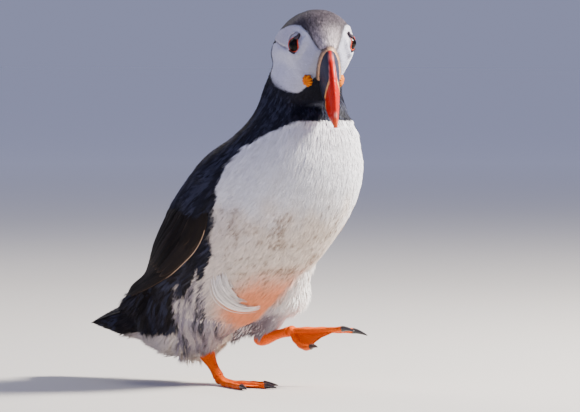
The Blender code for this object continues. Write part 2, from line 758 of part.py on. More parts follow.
def main():
    for old in list(bpy.data.objects):
        bpy.data.objects.remove(old)
    body = blended_body()
    trunk = parted_body(body)
    upper_bill()
    lower_bill()
    cere()
    tail_solid = tail(body)
    for side, label in ((-1, "right"), (1, "left")):
        eye(side, label)
        gape_rosette(side, label, body)
        folded_wing(side, label, body, tail_solid)
    legs = (
        ("right", -1, KNEE_STANDING, ANKLE_STANDING, FOOT_STANDING, -5.0, 0.0, True),
        ("left", 1, KNEE_RAISED, ANKLE_RAISED, FOOT_RAISED, 5.0, -4.0, False),
    )
    for label, side, knee, ankle, foot, heading, pitch, standing in legs:
        shank = tarsus(label, ankle, foot)
        parted_leg(label, knee, ankle, trunk, shank)
        webbed = Foot(label, side, foot, heading, pitch, standing)
        webbed.build()
        for toe in TOES:
            webbed.claw(toe)
    bpy.data.objects.remove(body)


main()
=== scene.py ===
"""Dresses the solid model of a life-size Atlantic puffin in mid-step.

One skin stands for the flesh, and feathers in tufts, plumes and vanes grow from it. The bill, the eyes with
their lids and horny plates, the folds at the corners of the mouth, the legs and the claws are pieces of their
own. Lengths are in millimetres in the bird's own directions (forward, left, up) until they are placed.
"""

import logging
import math
from collections.abc import Iterator
from contextlib import contextmanager
from dataclasses import dataclass
from enum import Enum
from typing import Self

import bmesh
import bpy
import numpy as np
from mathutils import Matrix, Vector
from mathutils.bvhtree import BVHTree


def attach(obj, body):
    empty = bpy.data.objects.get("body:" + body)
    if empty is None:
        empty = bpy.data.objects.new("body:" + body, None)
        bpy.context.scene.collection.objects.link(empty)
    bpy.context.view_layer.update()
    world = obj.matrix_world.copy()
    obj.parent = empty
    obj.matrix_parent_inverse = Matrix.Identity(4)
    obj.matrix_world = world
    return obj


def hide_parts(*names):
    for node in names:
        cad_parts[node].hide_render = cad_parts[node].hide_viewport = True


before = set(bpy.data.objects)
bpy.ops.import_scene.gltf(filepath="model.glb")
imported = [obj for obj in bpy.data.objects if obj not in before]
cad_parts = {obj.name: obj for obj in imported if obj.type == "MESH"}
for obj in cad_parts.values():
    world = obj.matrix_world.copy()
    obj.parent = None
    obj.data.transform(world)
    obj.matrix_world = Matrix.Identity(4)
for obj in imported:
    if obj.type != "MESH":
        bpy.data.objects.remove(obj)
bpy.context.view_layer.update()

LOG = logging.getLogger("puffin")
Triple = tuple[float, float, float]
Colour = Triple
Array = np.ndarray
Rows = Array | Triple
Socket = bpy.types.NodeSocket
Piece = bpy.types.Object
Material = bpy.types.Material
Node = bpy.types.Node
Inputs = dict[str | int, object]

MM = 0.001
MIDDLE_FORWARD = 8.86
MIDDLE_LEFT = -0.03
HEAD_CENTRE = (74.0, -3.0, 191.0)
HEAD_TURN = 35.0
HEAD_NOD = 20.0
EYES = {-1: (10.0, -14.4, 7.2), 1: (11.0, 14.3, 8.6)}
EYE_RADIUS = 4.8
BILL_TOP = (26.0, 12.5)
BILL_CHIN = (16.2, -23.2)
BILL_TIP = (55.4, -25.4)
LOWER_TIP = (52.0, -23.54)
CULMEN_BEND = (53.2, 2.6)
UPPER_EDGE_BEND = (41.0, -14.6)
LOWER_EDGE_BEND = (36.5, -11.88)
GONYS_BEND = (38.0, -32.5)
BILL_HALF_WIDTH = 5.0
CERE_THICKNESS = 2.6
SPINE = (
    (-62.0, 25.0), (-29.0, 40.0), (-5.0, 57.0), (16.0, 80.0), (36.0, 104.0),
    (53.0, 126.0), (60.0, 145.0), (64.0, 170.0), (68.0, 181.0),
)
ANKLE_STANDING = (-7.7, -4.0, 19.0)
ANKLE_RAISED = (13.0, 20.0, 26.0)
FOOT_STANDING = (3.3, -4.0, 3.6)
FOOT_RAISED = (36.5, 20.0, 31.5)
STANDING = ((8.0, -19.0, 62.0), ANKLE_STANDING)
RAISED = ((33.0, 22.0, 70.0), ANKLE_RAISED)
SHINS = (STANDING, RAISED)
SIDES = ((-1, "right"), (1, "left"))


class Slot(Enum):
    """The record's material slots."""

    BLACK = "plumage_black"
    WHITE = "plumage_white"
    GREY = "plumage_grey"
    FLIGHT = "flight_feather"
    LEG = "leg_skin"
    CLAW = "claw_horn"
    BILL = "bill_horn"
    CERE = "cere"
    GAPE = "gape_skin"
    EYE = "eye"


class Shape(Enum):
    """The forms of one plume: strands, segments of each, how far they fan, breadth and seed."""

    DOWN = (3, 2, 0.5, 0.34, 5)
    TUFT = (4, 3, 0.5, 0.22, 6)
    PLUME = (5, 5, 0.35, 0.17, 7)


# ---------------------------------------------------------------- places


def body_point(forward: float, left: float, up: float) -> Vector:
    """A point given in the bird's own directions, as a place in the model in metres."""
    return Vector((left + MIDDLE_LEFT, MIDDLE_FORWARD - forward, up)) * MM


def turned(degrees: float, axis: str, size: int = 4) -> Matrix:
    """A rotation about an axis."""
    return Matrix.Rotation(math.radians(degrees), size, axis)


def frame_at(place: Triple, turn: float, tip: float, left: float) -> Array:
    """Carries own coordinates (forward, left or right, up, in millimetres) to metres in the model.

    Args:
        place: of the own origin, in the bird's directions.
        turn: about the upright, in degrees.
        tip: nose down, in degrees.
        left: 1 where the second coordinate runs to the bird's left, -1 where it runs to the right.

    Returns:
        A matrix of four rows.
    """
    axes = Matrix(((0, left, 0, 0), (-1, 0, 0, 0), (0, 0, 1, 0), (0, 0, 0, 1)))
    moved = Matrix.Translation(body_point(*place))
    return np.array(moved @ turned(turn, "Z") @ turned(tip, "X") @ axes @ Matrix.Scale(MM, 4))


HEAD = frame_at(HEAD_CENTRE, -HEAD_TURN, HEAD_NOD, 1)
HEAD_TURNED = HEAD[:3, :3] / MM


def carried(points: Array, matrix: Array = HEAD) -> Array:
    """Places in the model of points in the coordinates of the head, or of another matrix."""
    return points @ matrix[:3, :3].T + matrix[:3, 3]


def unit(vectors: Rows) -> Array:
    """The vectors of an array, each made one long."""
    return vectors / np.maximum(np.linalg.norm(vectors, axis=-1, keepdims=True), 1e-12)


def square_to(vectors: Array, out: Array) -> Array:
    """Unit vectors with what points along out taken away."""
    return unit(vectors - out * (vectors * out).sum(axis=-1, keepdims=True))


def step(low: float, high: float, values: Array) -> Array:
    """A smooth rise from 0 at low to 1 at high, or a fall where low is the larger."""
    share = np.clip((values - low) / (high - low), 0.0, 1.0)
    return share * share * (3 - 2 * share)


def hump(values: Array) -> Array:
    """A soft rise and fall between 0 and 1."""
    return np.sin(math.pi * values)


def mix(first: Rows, *layers: tuple[Rows, Array]) -> Array:
    """Blends rows, or one colour, towards each layer in turn, by its share for each row."""
    blend = np.asarray(first)
    for second, share in layers:
        blend = blend + (np.asarray(second) - blend) * share[:, None]
    return blend


def eased(first: Array, second: float, share: Array) -> Array:
    """Blends values towards one number."""
    return first * (1 - share) + second * share


def softened(line: Array, rounds: int, centre: int = 1) -> Array:
    """Rows smoothed between their ends, in place, with a weight for the middle one of each three."""
    for _ in range(rounds):
        line[1:-1] = (line[:-2] + centre * line[1:-1] + line[2:]) / (centre + 2)
    return line


def wobble(points: Array, wave: float, seed: int) -> Array:
    """A smooth random value between about -1 and 1 at each point, in patches as large as wave."""
    draw = np.random.default_rng(seed)
    total = np.zeros(len(points))
    rounds = 10
    for _ in range(rounds):
        direction = unit(draw.normal(size=3))
        pace = math.tau / (wave * draw.uniform(0.7, 1.6))
        total += np.sin(points @ direction * pace + draw.uniform(0, math.tau))
    return total / math.sqrt(rounds)


class Places:
    """Points on the skin, known in the model, in the bird's own directions and in the head's."""

    def __init__(self, world: Array, out: Array) -> None:
        self.world = world
        self.out = unit(out)
        self.body = np.stack(
            [MIDDLE_FORWARD - world[:, 1] / MM, world[:, 0] / MM - MIDDLE_LEFT, world[:, 2] / MM], axis=1
        )
        self.head = (world - HEAD[:3, 3]) @ HEAD_TURNED / MM
        self.forward, self.left, self.up = self.body.T
        self.side = np.abs(self.left)
        self.ahead, across, self.above = self.head.T
        self.face_side = np.abs(across)

    def within(self, **limits: tuple[float, ...]) -> Array:
        """The product of smooth steps over named coordinates, each with a pair or two of limits."""
        share = 1.0
        for name, ends in limits.items():
            for low, high in zip(ends[::2], ends[1::2]):
                share = share * step(low, high, getattr(self, name))
        return share

    def near_head(self) -> Array:
        """1 on the head, falling to 0 on the neck."""
        return step(34.0, 27.0, np.linalg.norm(self.head * np.array([0.85, 1.0, 1.0]), axis=1))

    def thigh_front(self) -> Array:
        """1 on the loose plumage before the raised leg, falling to 0 round it."""
        away = np.hypot((self.forward - 44.0) / 18.0, (self.up - 51.0) / 25.0)
        return step(1.0, 0.35, away) * step(2.0, 12.0, self.left)

    def near_leg(self, shin: tuple[Triple, Triple]) -> Array:
        """1 on the plumage round a shin, falling to 0 on the trunk."""
        top, end = np.array(shin)
        along = end - top
        share = np.clip((self.body - top) @ along / (along @ along), 0.0, 1.15)
        distance = np.linalg.norm(self.body - top - share[:, None] * along, axis=1)
        reach = np.interp(share, [0.0, 0.45, 0.8, 1.15], [8.0, 19.0, 16.0, 14.0])
        return step(1.25, 0.9, distance / reach) * step(0.12, 0.45, share)

    def between_legs(self, middle: tuple[float, float], reach: tuple[float, float]) -> Array:
        """The distance from a middle (forward, left) between the legs, in parts of its reach."""
        return np.hypot((self.forward - middle[0]) / reach[0], (self.left - middle[1]) / reach[1])


class Markings:
    """The colours of the plumage, as a rule of place."""

    BACK_EDGE_UP = (28, 31, 36, 42, 50, 58, 66, 76, 89, 100, 109, 114, 121, 128.5, 137, 142, 151.8, 152.8)
    BACK_EDGE_FORWARD = (-70, -16, -7, -2, 1, 9, 20, 27.5, 30.5, 33, 35.5, 34.5, 38, 42, 48, 57, 77, 160)
    CROWN_AHEAD = (-26, -16, -8, -1, 4, 7.5, 13.5, 18.5, 22.5, 27)
    CROWN_ABOVE = (-4, 3.5, 9.5, 14.2, 16.8, 17.4, 15.9, 12, 9.2, 7.8)
    NAPE_ABOVE = (-18.5, -16.5, -10, -4, 5, 11)
    NAPE_AHEAD = (4, -4, -8.2, -9.8, -12.2, -9)
    BLACK = np.array((0.011, 0.0115, 0.021))
    BROWN_BLACK = (0.017, 0.013, 0.013)
    # white plumage with a slight blue cast; the cast is painted cool shade light
    WHITE = (0.79, 0.79, 0.83)
    # painted light: a brighter, warmer white for the fluff before the raised thigh, as if lit by the key
    LIT_THIGH_WHITE = (0.86, 0.85, 0.83)
    # cream of the lower body: partly the plumage's own tone, partly painted warm bounce light from below
    CREAM = (0.70, 0.585, 0.48)
    # painted light: peach glow of warm light bounced up from the feet onto the underside
    PAINTED_BOUNCE_PEACH = (0.79, 0.26, 0.105)
    GREY_CAP = (0.090, 0.074, 0.088)
    FOREHEAD = (0.66, 0.58, 0.61)
    # pale grey face, darkened and turned lavender as painted cool shade
    SHADED_FACE = (0.66, 0.66, 0.76)
    # painted shade: the face darker above the furrow behind the eye
    BROW = (0.46, 0.43, 0.50)
    # painted shade: darker blue-grey in the lores between eye and bill
    LORES_SHADE = (0.37, 0.38, 0.50)
    # painted shadow in the furrow behind the eye
    CREASE_SHADOW = (0.20, 0.17, 0.21)

    def dark_back(self, at: Places) -> Array:
        """1 on the black upper side, wings, flanks, neck and tail, 0 on the white underside."""
        edge = np.interp(at.up, self.BACK_EDGE_UP, self.BACK_EDGE_FORWARD)
        edge = edge + 1.0 * wobble(at.body, 9.0, 3) * step(150.0, 140.0, at.up)
        edge = edge + 4.6 * self.streaks(at, 3.6, 33) * at.within(up=(84, 64), forward=(-30, -12))
        under_tail = step(-57.0, -61.0, at.forward)
        return np.maximum(step(1.2, -1.2, at.forward - edge), under_tail * step(26.0, 29.0, at.up))

    def streaks(self, at: Places, wave: float, seed: int) -> Array:
        """Long bands, between about -1 and 1, that follow the plumage of the flank and the thigh."""
        across, along = 0.91 * at.forward - 0.42 * at.up, 0.42 * at.forward + 0.91 * at.up
        return wobble(np.stack([across, 0.12 * at.left, 0.07 * along], axis=1), wave, seed)

    def over_crown_line(self, at: Places) -> Array:
        """The height over the line where the grey cap ends."""
        return at.above - np.interp(at.ahead, self.CROWN_AHEAD, self.CROWN_ABOVE)

    def face(self, at: Places) -> Array:
        """1 on the pale disc of the face."""
        before_nape = step(-0.6, 0.6, at.ahead - np.interp(at.above, self.NAPE_ABOVE, self.NAPE_AHEAD))
        throat = -19.0 + 0.13 * np.clip(14.5 - at.face_side, 0.0, 9.0) ** 2
        over_throat = step(-0.6, 0.6, at.above - throat)
        return step(0.5, -0.5, self.over_crown_line(at)) * before_nape * over_throat * at.near_head()

    def over_crease(self, at: Places) -> Array:
        """The height over the furrow that leads back from the eye."""
        return at.above - (3.6 - 2.0 * np.clip((6.5 - at.ahead) / 19.0, 0.0, 1.0))

    def crown(self, at: Places) -> Array:
        """1 on the grey cap and the forehead."""
        return step(-0.5, 0.5, self.over_crown_line(at)) * step(-21.0, -14.0, at.ahead) * at.near_head()

    def colour(self, at: Places) -> Array:
        """The colour of the plumage at each place, in linear light, with painted light and shade laid into it
        on the face, the underside and the raised thigh.
        """
        off_front, off_leg = 1 - at.thigh_front(), 1 - at.near_leg(RAISED)
        # the lower body is tinted cream, partly as painted warm light bounced up from below
        lower = step(118.0, 84.0, at.up + 5.0 * wobble(at.body, 14.0, 11)) * off_front * off_leg
        # painted light: a peach glow under the belly near the legs, standing in for light bounced up from the
        # feet
        painted_bounce = at.within(up=(74, 52), forward=(10, 26), side=(34, 18))
        painted_bounce = painted_bounce * off_leg * step(16.0, 6.0, at.left)
        under = mix(
            self.WHITE,
            (self.CREAM, 0.8 * lower),
            (self.PAINTED_BOUNCE_PEACH, 0.95 * painted_bounce * off_front),
            # painted light: the fluff before the raised thigh is painted brighter and warmer
            (self.LIT_THIGH_WHITE, at.thigh_front()),
        )
        worn = at.within(up=(92, 60), forward=(40, -10))
        body = mix(under, (mix(self.BLACK, (self.BROWN_BLACK, 0.9 * worn)), self.dark_back(at)))
        front = at.within(ahead=(10, 26), face_side=(19, 6))
        cap = mix(
            self.GREY_CAP,
            (self.FOREHEAD, 0.9 * front),
            (self.BLACK * 1.4, step(1.0, -12.0, at.ahead)),
            (self.BLACK, 0.7 * step(1.5, 0.4, np.abs(self.over_crown_line(at)))),
        )
        crease = self.over_crease(at)
        # painted shade in the lores, darkest before the eye
        lores_shade = step(12.0, 4.0, np.hypot(at.ahead - 20.0, 0.55 * (at.above + 1.0)))
        # painted shadow along the furrow behind the eye
        in_crease_shadow = step(1.0, 0.3, np.abs(crease)) * step(8.5, 6.0, at.ahead)
        # the face disc, with painted shade: a lavender tone, darker above the furrow behind the eye, in the
        # lores and in the furrow
        disc = mix(
            self.SHADED_FACE,
            # painted shade above the furrow behind the eye
            (self.BROW, 0.5 * (step(-0.6, 0.4, crease) * step(9.0, 3.0, at.ahead))),
            (self.LORES_SHADE, 0.75 * lores_shade),
            (self.CREASE_SHADOW, 0.7 * in_crease_shadow * step(-14.0, -9.0, at.ahead)),
        )
        head = mix(self.BLACK, (cap, self.crown(at)), (disc, self.face(at)))
        return mix(body, (head, at.near_head()))


class Flow:
    """The lie of the plumage: the way each feather points."""

    WING = (-0.80, 0.0, -0.60)
    FLANK = (-0.42, 0.0, -0.9)

    def __init__(self) -> None:
        line = np.array(SPINE)
        shares = np.linspace(0, len(line) - 1, 90)
        stops = np.arange(len(line))
        self.spots = np.stack([np.interp(shares, stops, line[:, k]) for k in range(2)], axis=1)
        self.ways = unit(softened(np.gradient(self.spots, axis=0), 30))

    def nearest(self, at: Places) -> Array:
        """The index of the nearest spot of the spine for each place."""
        away = at.body[:, None, (0, 2)] - self.spots[None]
        return np.argmin((away**2).sum(axis=2), axis=1)

    def lie(self, at: Places) -> Array:
        """Unit vectors along the skin that the plumage follows."""
        way = self.ways[self.nearest(at)]
        on_wing = at.within(side=(26, 34), forward=(40, 25), up=(50, 66))
        flank = at.within(up=(66, 54), side=(16, 26), forward=(24, 12))
        down = mix(
            np.stack([-way[:, 0], 0 * way[:, 0], -way[:, 1]], axis=1),
            (self.WING, 0.6 * on_wing),
            (self.FLANK, 0.75 * flank),
            *((unit(np.array(shin[1]) - np.array(shin[0])), at.near_leg(shin)) for shin in SHINS),
        )
        world = np.stack([down[:, 1], -down[:, 0], down[:, 2]], axis=1)
        from_bill = (at.head - np.array([34.0, 0.0, -2.0])) * np.array([1.0, 0.55, 0.75])
        return square_to(mix(world, (unit(from_bill) @ HEAD_TURNED.T, at.near_head())), at.out)

    def unwrap(self, at: Places) -> Array:
        """Where each place lies on the skin laid out flat: round the spine, and along it."""
        index = self.nearest(at)
        (ahead, over), (way, climb) = (at.body[:, (0, 2)] - self.spots[index]).T, self.ways[index].T
        rise, along = ahead * -climb + over * way, ahead * way + over * climb
        return np.stack([np.arctan2(at.left, rise), index / 20.0 + along / 40.0], axis=1)


# ---------------------------------------------------------------- building helpers


class Wiring:
    """Adds nodes to a node tree and links them."""

    def __init__(self, tree: bpy.types.NodeTree) -> None:
        self.tree = tree

    def add(self, kind: str, inputs: Inputs | None = None, **settings: object) -> Node:
        """A new node of a kind, with its properties set, and a socket or a value for each named input."""
        made = self.tree.nodes.new(kind)
        for name, value in settings.items():
            setattr(made, name, value)
        self.feed(made, inputs or {})
        return made

    def feed(self, node: Node, inputs: Inputs) -> None:
        """Links sockets to inputs, or sets the inputs to values."""
        for label, value in inputs.items():
            if isinstance(value, Socket):
                self.tree.links.new(value, node.inputs[label])
            else:
                node.inputs[label].default_value = value

    def attribute(self, name: str, kind: str = "FLOAT_VECTOR") -> Socket:
        """The output of a node that reads a named attribute of the geometry."""
        made = self.add("GeometryNodeInputNamedAttribute", {"Name": name}, data_type=kind)
        return made.outputs["Attribute"]

    def shown(self, name: str, output: str = "Fac") -> Socket:
        """The output of a shader node that reads a named attribute."""
        return self.add("ShaderNodeAttribute", attribute_name=name).outputs[output]

    def vector(self, operation: str, first: object, second: object) -> Socket:
        """The output of a vector math node. To scale a vector, the second value is a number."""
        inputs = {0: first, "Scale" if operation == "SCALE" else 1: second}
        return self.add("ShaderNodeVectorMath", inputs, operation=operation).outputs["Vector"]

    def math(self, operation: str, first: object, second: object) -> Socket:
        """The output of a math node on two sockets or values."""
        return self.add("ShaderNodeMath", {0: first, 1: second}, operation=operation).outputs["Value"]

    def blend(self, share: object, first: object, second: object) -> Socket:
        """The output of a node that blends two colours."""
        return self.add("ShaderNodeMix", {0: share, 6: first, 7: second}, data_type="RGBA").outputs[2]

    def ramp(self, source: Socket, top: float, low: float, high: float) -> Socket:
        """Turns 0 to top into low to high."""
        limits = {"From Max": top, "To Min": low, "To Max": high, "Value": source}
        return self.add("ShaderNodeMapRange", limits).outputs["Result"]

    def place(self) -> Socket:
        """The place on the object, as a shader sees it."""
        return self.add("ShaderNodeTexCoord").outputs["Object"]


def linked(name: str, data: bpy.types.ID) -> Piece:
    """A new object in the scene."""
    made = bpy.data.objects.new(name, data)
    bpy.context.scene.collection.objects.link(made)
    return made


def mesh_object(name: str, points: Array, faces: list[tuple[int, ...]]) -> Piece:
    """A smooth-shaded mesh object from points in metres and faces."""
    mesh = bpy.data.meshes.new(name)
    mesh.from_pydata([tuple(point) for point in points], [], faces)
    mesh.update()
    mesh.shade_smooth()
    return linked(name, mesh)


@contextmanager
def edited(data: bpy.types.Mesh) -> Iterator[bmesh.types.BMesh]:
    """Opens a mesh for editing and writes it back."""
    mesh = bmesh.new()
    mesh.from_mesh(data)
    yield mesh
    mesh.to_mesh(data)
    mesh.free()


def outward(made: Piece) -> Piece:
    """Turns the faces of a closed mesh outwards."""
    with edited(made.data) as mesh:
        bmesh.ops.recalc_face_normals(mesh, faces=mesh.faces)
    return made


def ring_faces(rows: int, columns: int, offset: int = 0) -> list[tuple[int, ...]]:
    """Faces of a closed solid through rings of points, each end closed by one face."""
    faces: list[tuple[int, ...]] = []
    for i in range(rows - 1):
        a, b = offset + i * columns, offset + (i + 1) * columns
        faces += [(a + j, a + (j + 1) % columns, b + (j + 1) % columns, b + j) for j in range(columns)]
    faces.append(tuple(offset + j for j in reversed(range(columns))))
    faces.append(tuple(offset + (rows - 1) * columns + j for j in range(columns)))
    return faces


def store(mesh: bpy.types.Mesh, name: str, values: Array) -> None:
    """Keeps one value, vector or colour for each vertex of a mesh."""
    kinds = {1: ("FLOAT", "value"), 3: ("FLOAT_VECTOR", "vector"), 4: ("FLOAT_COLOR", "color")}
    kind, field_name = kinds[values.shape[1] if values.ndim > 1 else 1]
    layer = mesh.attributes.get(name) or mesh.attributes.new(name, kind, "POINT")
    layer.data.foreach_set(field_name, values.ravel().astype(np.float32))


def paint(made: Piece, colours: Rows) -> None:
    """Keeps a colour for each vertex, or one for all, as the tint of an object."""
    rows = np.broadcast_to(colours, (len(made.data.vertices), 3))
    store(made.data, "tint", np.concatenate([rows, np.ones((len(rows), 1))], axis=1))


def read(mesh: bpy.types.Mesh, field_name: str = "co") -> Array:
    """The vertices of a mesh, or their normals, as rows."""
    flat = np.zeros(len(mesh.vertices) * 3)
    mesh.vertices.foreach_get(field_name, flat)
    return flat.reshape(-1, 3)


def move(mesh: bpy.types.Mesh, points: Array) -> None:
    """Moves the vertices of a mesh to new places."""
    mesh.vertices.foreach_set("co", points.ravel())
    mesh.update()


def places_of(mesh: bpy.types.Mesh) -> Places:
    """The vertices of a mesh and the directions out of it."""
    return Places(read(mesh), read(mesh, "normal"))


def applied(made: Piece) -> Piece:
    """Replaces an object's mesh by what its modifiers make of it."""
    bpy.context.view_layer.update()
    graph = bpy.context.evaluated_depsgraph_get()
    data = bpy.data.meshes.new_from_object(made.evaluated_get(graph), depsgraph=graph)
    made.modifiers.clear()
    made.data = data
    return made


def modify(made: Piece, name: str, kind: str, **settings: object) -> None:
    """Adds a modifier with its settings."""
    modifier = made.modifiers.new(name, kind)
    for label, value in settings.items():
        setattr(modifier, label, value)


def dressed(made: Piece, material: Material) -> Piece:
    """Gives an object one material."""
    made.data.materials.clear()
    made.data.materials.append(material)
    return made


def hand_in(made: Piece, slot: Slot, *nodes: str, finish: Material | None = None) -> Piece:
    """Puts a finished piece on the body, gives it its finish where one is given, and hides the solids that it
    stands for.
    """
    if finish:
        dressed(made, finish)
    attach(made, "root")
    if nodes:
        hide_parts(*nodes)
    made.data.calc_loop_triangles()
    LOG.info("%s: %d triangles", made.name, len(made.data.loop_triangles))
    return made


# ---------------------------------------------------------------- finishes


def shader_group(name: str, inputs: dict[str, object], outputs: dict[str, str]) -> tuple:
    """A new shader node group with named inputs, given by their first values, and named outputs.

    Returns:
        The group, the means to wire it, the sockets that bring its inputs in, and its output node.
    """
    tree = bpy.data.node_groups.new(name, "ShaderNodeTree")
    for label, value in inputs.items():
        kind = "NodeSocketFloat" if isinstance(value, float) else "NodeSocketColor"
        tree.interface.new_socket(label, in_out="INPUT", socket_type=kind).default_value = value
    for label, kind in outputs.items():
        tree.interface.new_socket(label, in_out="OUTPUT", socket_type=kind)
    wiring = Wiring(tree)
    return tree, wiring, wiring.add("NodeGroupInput").outputs, wiring.add("NodeGroupOutput")


def mottle_group() -> bpy.types.NodeTree:
    """Lightens and darkens a colour in soft patches of a given size, and gives a fine height."""
    tree, wiring, source, target = shader_group(
        "mottle",
        {"Colour": (0.5, 0.5, 0.5, 1.0), "Amount": 0.2, "Size": 300.0, "Grain": 2500.0},
        {"Colour": "NodeSocketColor", "Height": "NodeSocketFloat"},
    )
    place = wiring.place()
    patches, grain = (
        wiring.add("ShaderNodeTexNoise", {"Vector": place, "Scale": source[size]}).outputs["Fac"]
        for size in ("Size", "Grain")
    )
    centred = wiring.math("SUBTRACT", wiring.math("ADD", patches, grain), 1.0)
    factor = wiring.math("ADD", wiring.math("MULTIPLY", centred, source["Amount"]), 1.0)
    wiring.feed(target, {"Colour": wiring.vector("SCALE", source["Colour"], factor), "Height": grain})
    return tree


def scale_group() -> bpy.types.NodeTree:
    """Small many-sided scales with dark joints between them."""
    outputs = {"Mask": "NodeSocketFloat", "Height": "NodeSocketFloat"}
    tree, wiring, source, target = shader_group("scales", {"Size": 1200.0, "Joint": 0.08}, outputs)
    fixed = {"Vector": wiring.place(), "Scale": source["Size"]}
    cells = wiring.add("ShaderNodeTexVoronoi", fixed, feature="DISTANCE_TO_EDGE")
    limits = {"Value": cells.outputs["Distance"], "From Max": source["Joint"]}
    joint = wiring.add("ShaderNodeMapRange", limits, interpolation_type="SMOOTHSTEP").outputs["Result"]
    wiring.feed(target, {"Mask": joint, "Height": joint})
    return tree


class Finishes:
    """The shared node groups."""

    def __init__(self) -> None:
        self.mottle = mottle_group()
        self.scales = scale_group()


def new_material(name: str) -> tuple[Material, Wiring]:
    """A new material and the means to wire it."""
    material = bpy.data.materials.new(name)
    material.use_nodes = True
    return material, Wiring(material.node_tree)


def surfaced(material: Material, surface: Inputs, height: Socket = None, depth: float = 0.0) -> Material:
    """Feeds the shader of a material, and a height of some depth into its normal."""
    wiring = Wiring(material.node_tree)
    if height is not None:
        bump = wiring.add("ShaderNodeBump", {"Strength": 1.0, "Distance": depth, "Height": height})
        surface["Normal"] = bump.outputs["Normal"]
    wiring.feed(material.node_tree.nodes["Principled BSDF"], surface)
    return material


@dataclass(frozen=True)
class TintFinish:
    """A surface coloured by the piece's own tint, mottled, with a fine grain in its gloss and relief."""

    name: str
    roughness: float
    gloss: float = 0.4
    amount: float = 0.25
    size: float = 300.0
    grain: float = 2500.0
    depth: float = 0.0001
    sheen: float = 0.0
    coat: float = 0.0
    coat_roughness: float = 0.2
    root_shade: float = 1.0
    softness: float = 0.0
    specks: Colour | None = None

    def build(self, finishes: Finishes) -> Material:
        """The material."""
        material, wiring = new_material(self.name)
        inputs = {"Amount": self.amount, "Size": self.size, "Grain": self.grain}
        inputs["Colour"] = wiring.shown("tint", "Color")
        mottle = wiring.add("ShaderNodeGroup", inputs, node_tree=finishes.mottle)
        colour, height = mottle.outputs["Colour"], mottle.outputs["Height"]
        if self.root_shade < 1:
            shade = wiring.ramp(wiring.shown("along"), 0.7, self.root_shade, 1.0)
            colour = wiring.vector("SCALE", colour, shade)
        if self.specks is not None:
            tip = wiring.ramp(wiring.shown("along"), 1.0, -1.2, 2.4)
            share = wiring.math("MULTIPLY", tip, wiring.shown("speck"))
            colour = wiring.blend(share, colour, (*self.specks, 1.0))
        surface = {
            "Base Color": colour,
            "Roughness": wiring.ramp(height, 1.0, self.roughness - 0.1, self.roughness + 0.12),
            "Specular IOR Level": self.gloss,
        }
        if self.sheen:
            surface |= {"Sheen Weight": self.sheen, "Sheen Roughness": 0.5}
        if self.coat:
            surface |= {"Coat Weight": self.coat, "Coat Roughness": self.coat_roughness}
        if self.softness:
            surface |= {"Subsurface Weight": self.softness, "Subsurface Radius": (0.002, 0.001, 0.0005)}
        return surfaced(material, surface, height, self.depth)


@dataclass(frozen=True)
class LegFinish:
    """The scaly skin of shanks, toes and webs."""

    name: str = "leg_scales"
    colour: Colour = (0.90, 0.125, 0.0)
    joint_colour: Colour = (0.50, 0.055, 0.0)
    size: float = 1100.0

    def build(self, finishes: Finishes) -> Material:
        """The material."""
        material, wiring = new_material(self.name)
        scales = wiring.add("ShaderNodeGroup", {"Size": self.size, "Joint": 0.10}, node_tree=finishes.scales)
        colour = wiring.blend(scales.outputs["Mask"], (*self.joint_colour, 1.0), (*self.colour, 1.0))
        mottle = wiring.add("ShaderNodeGroup", {"Amount": 0.35, "Colour": colour}, node_tree=finishes.mottle)
        surface = {"Base Color": mottle.outputs["Colour"], "Roughness": 0.42, "Specular IOR Level": 0.12}
        return surfaced(material, surface, scales.outputs["Height"], 0.00012)


FELT = TintFinish("felt", 0.85, gloss=0.2, amount=0.5, size=500.0, depth=0.0004)
SPECKS = (0.17, 0.09, 0.045)
PLUMAGE = TintFinish("plumage", 0.60, gloss=0.3, sheen=0.15, root_shade=0.88, depth=0.00006, specks=SPECKS)
DARK_PLUMAGE = TintFinish("dark_plumage", 0.50, gloss=0.12, root_shade=0.6, depth=0.00006)
STIFF_VANES = TintFinish("stiff_vanes", 0.58, gloss=0.06, root_shade=0.9, depth=0.00006)
WET_EYE = TintFinish("wet_eye", 0.2, 0.04, 0.5, size=1800.0, depth=0.00001, coat=0.12, coat_roughness=0.03)
BILL_HORN = TintFinish("bill_horn", 0.42, gloss=0.16, amount=0.25, grain=1400.0, depth=0.00008, coat=0.07)
CLAW_HORN = TintFinish("claw_horn", 0.28, amount=0.22, size=350.0, grain=1400.0, depth=0.00008, coat=0.5)
PLATE_HORN = TintFinish("plate_horn", 0.7, gloss=0.15, amount=0.4, size=350.0, grain=1400.0, depth=0.00008)
FOLD_SKIN = TintFinish("fold_skin", 0.60, gloss=0.12, amount=0.4, size=600.0, grain=1800.0, depth=0.0002)
BARE_SKIN = TintFinish("bare_skin", 0.45, amount=0.4, size=600.0, grain=1800.0, depth=0.0002, softness=0.15)


# ---------------------------------------------------------------- skin


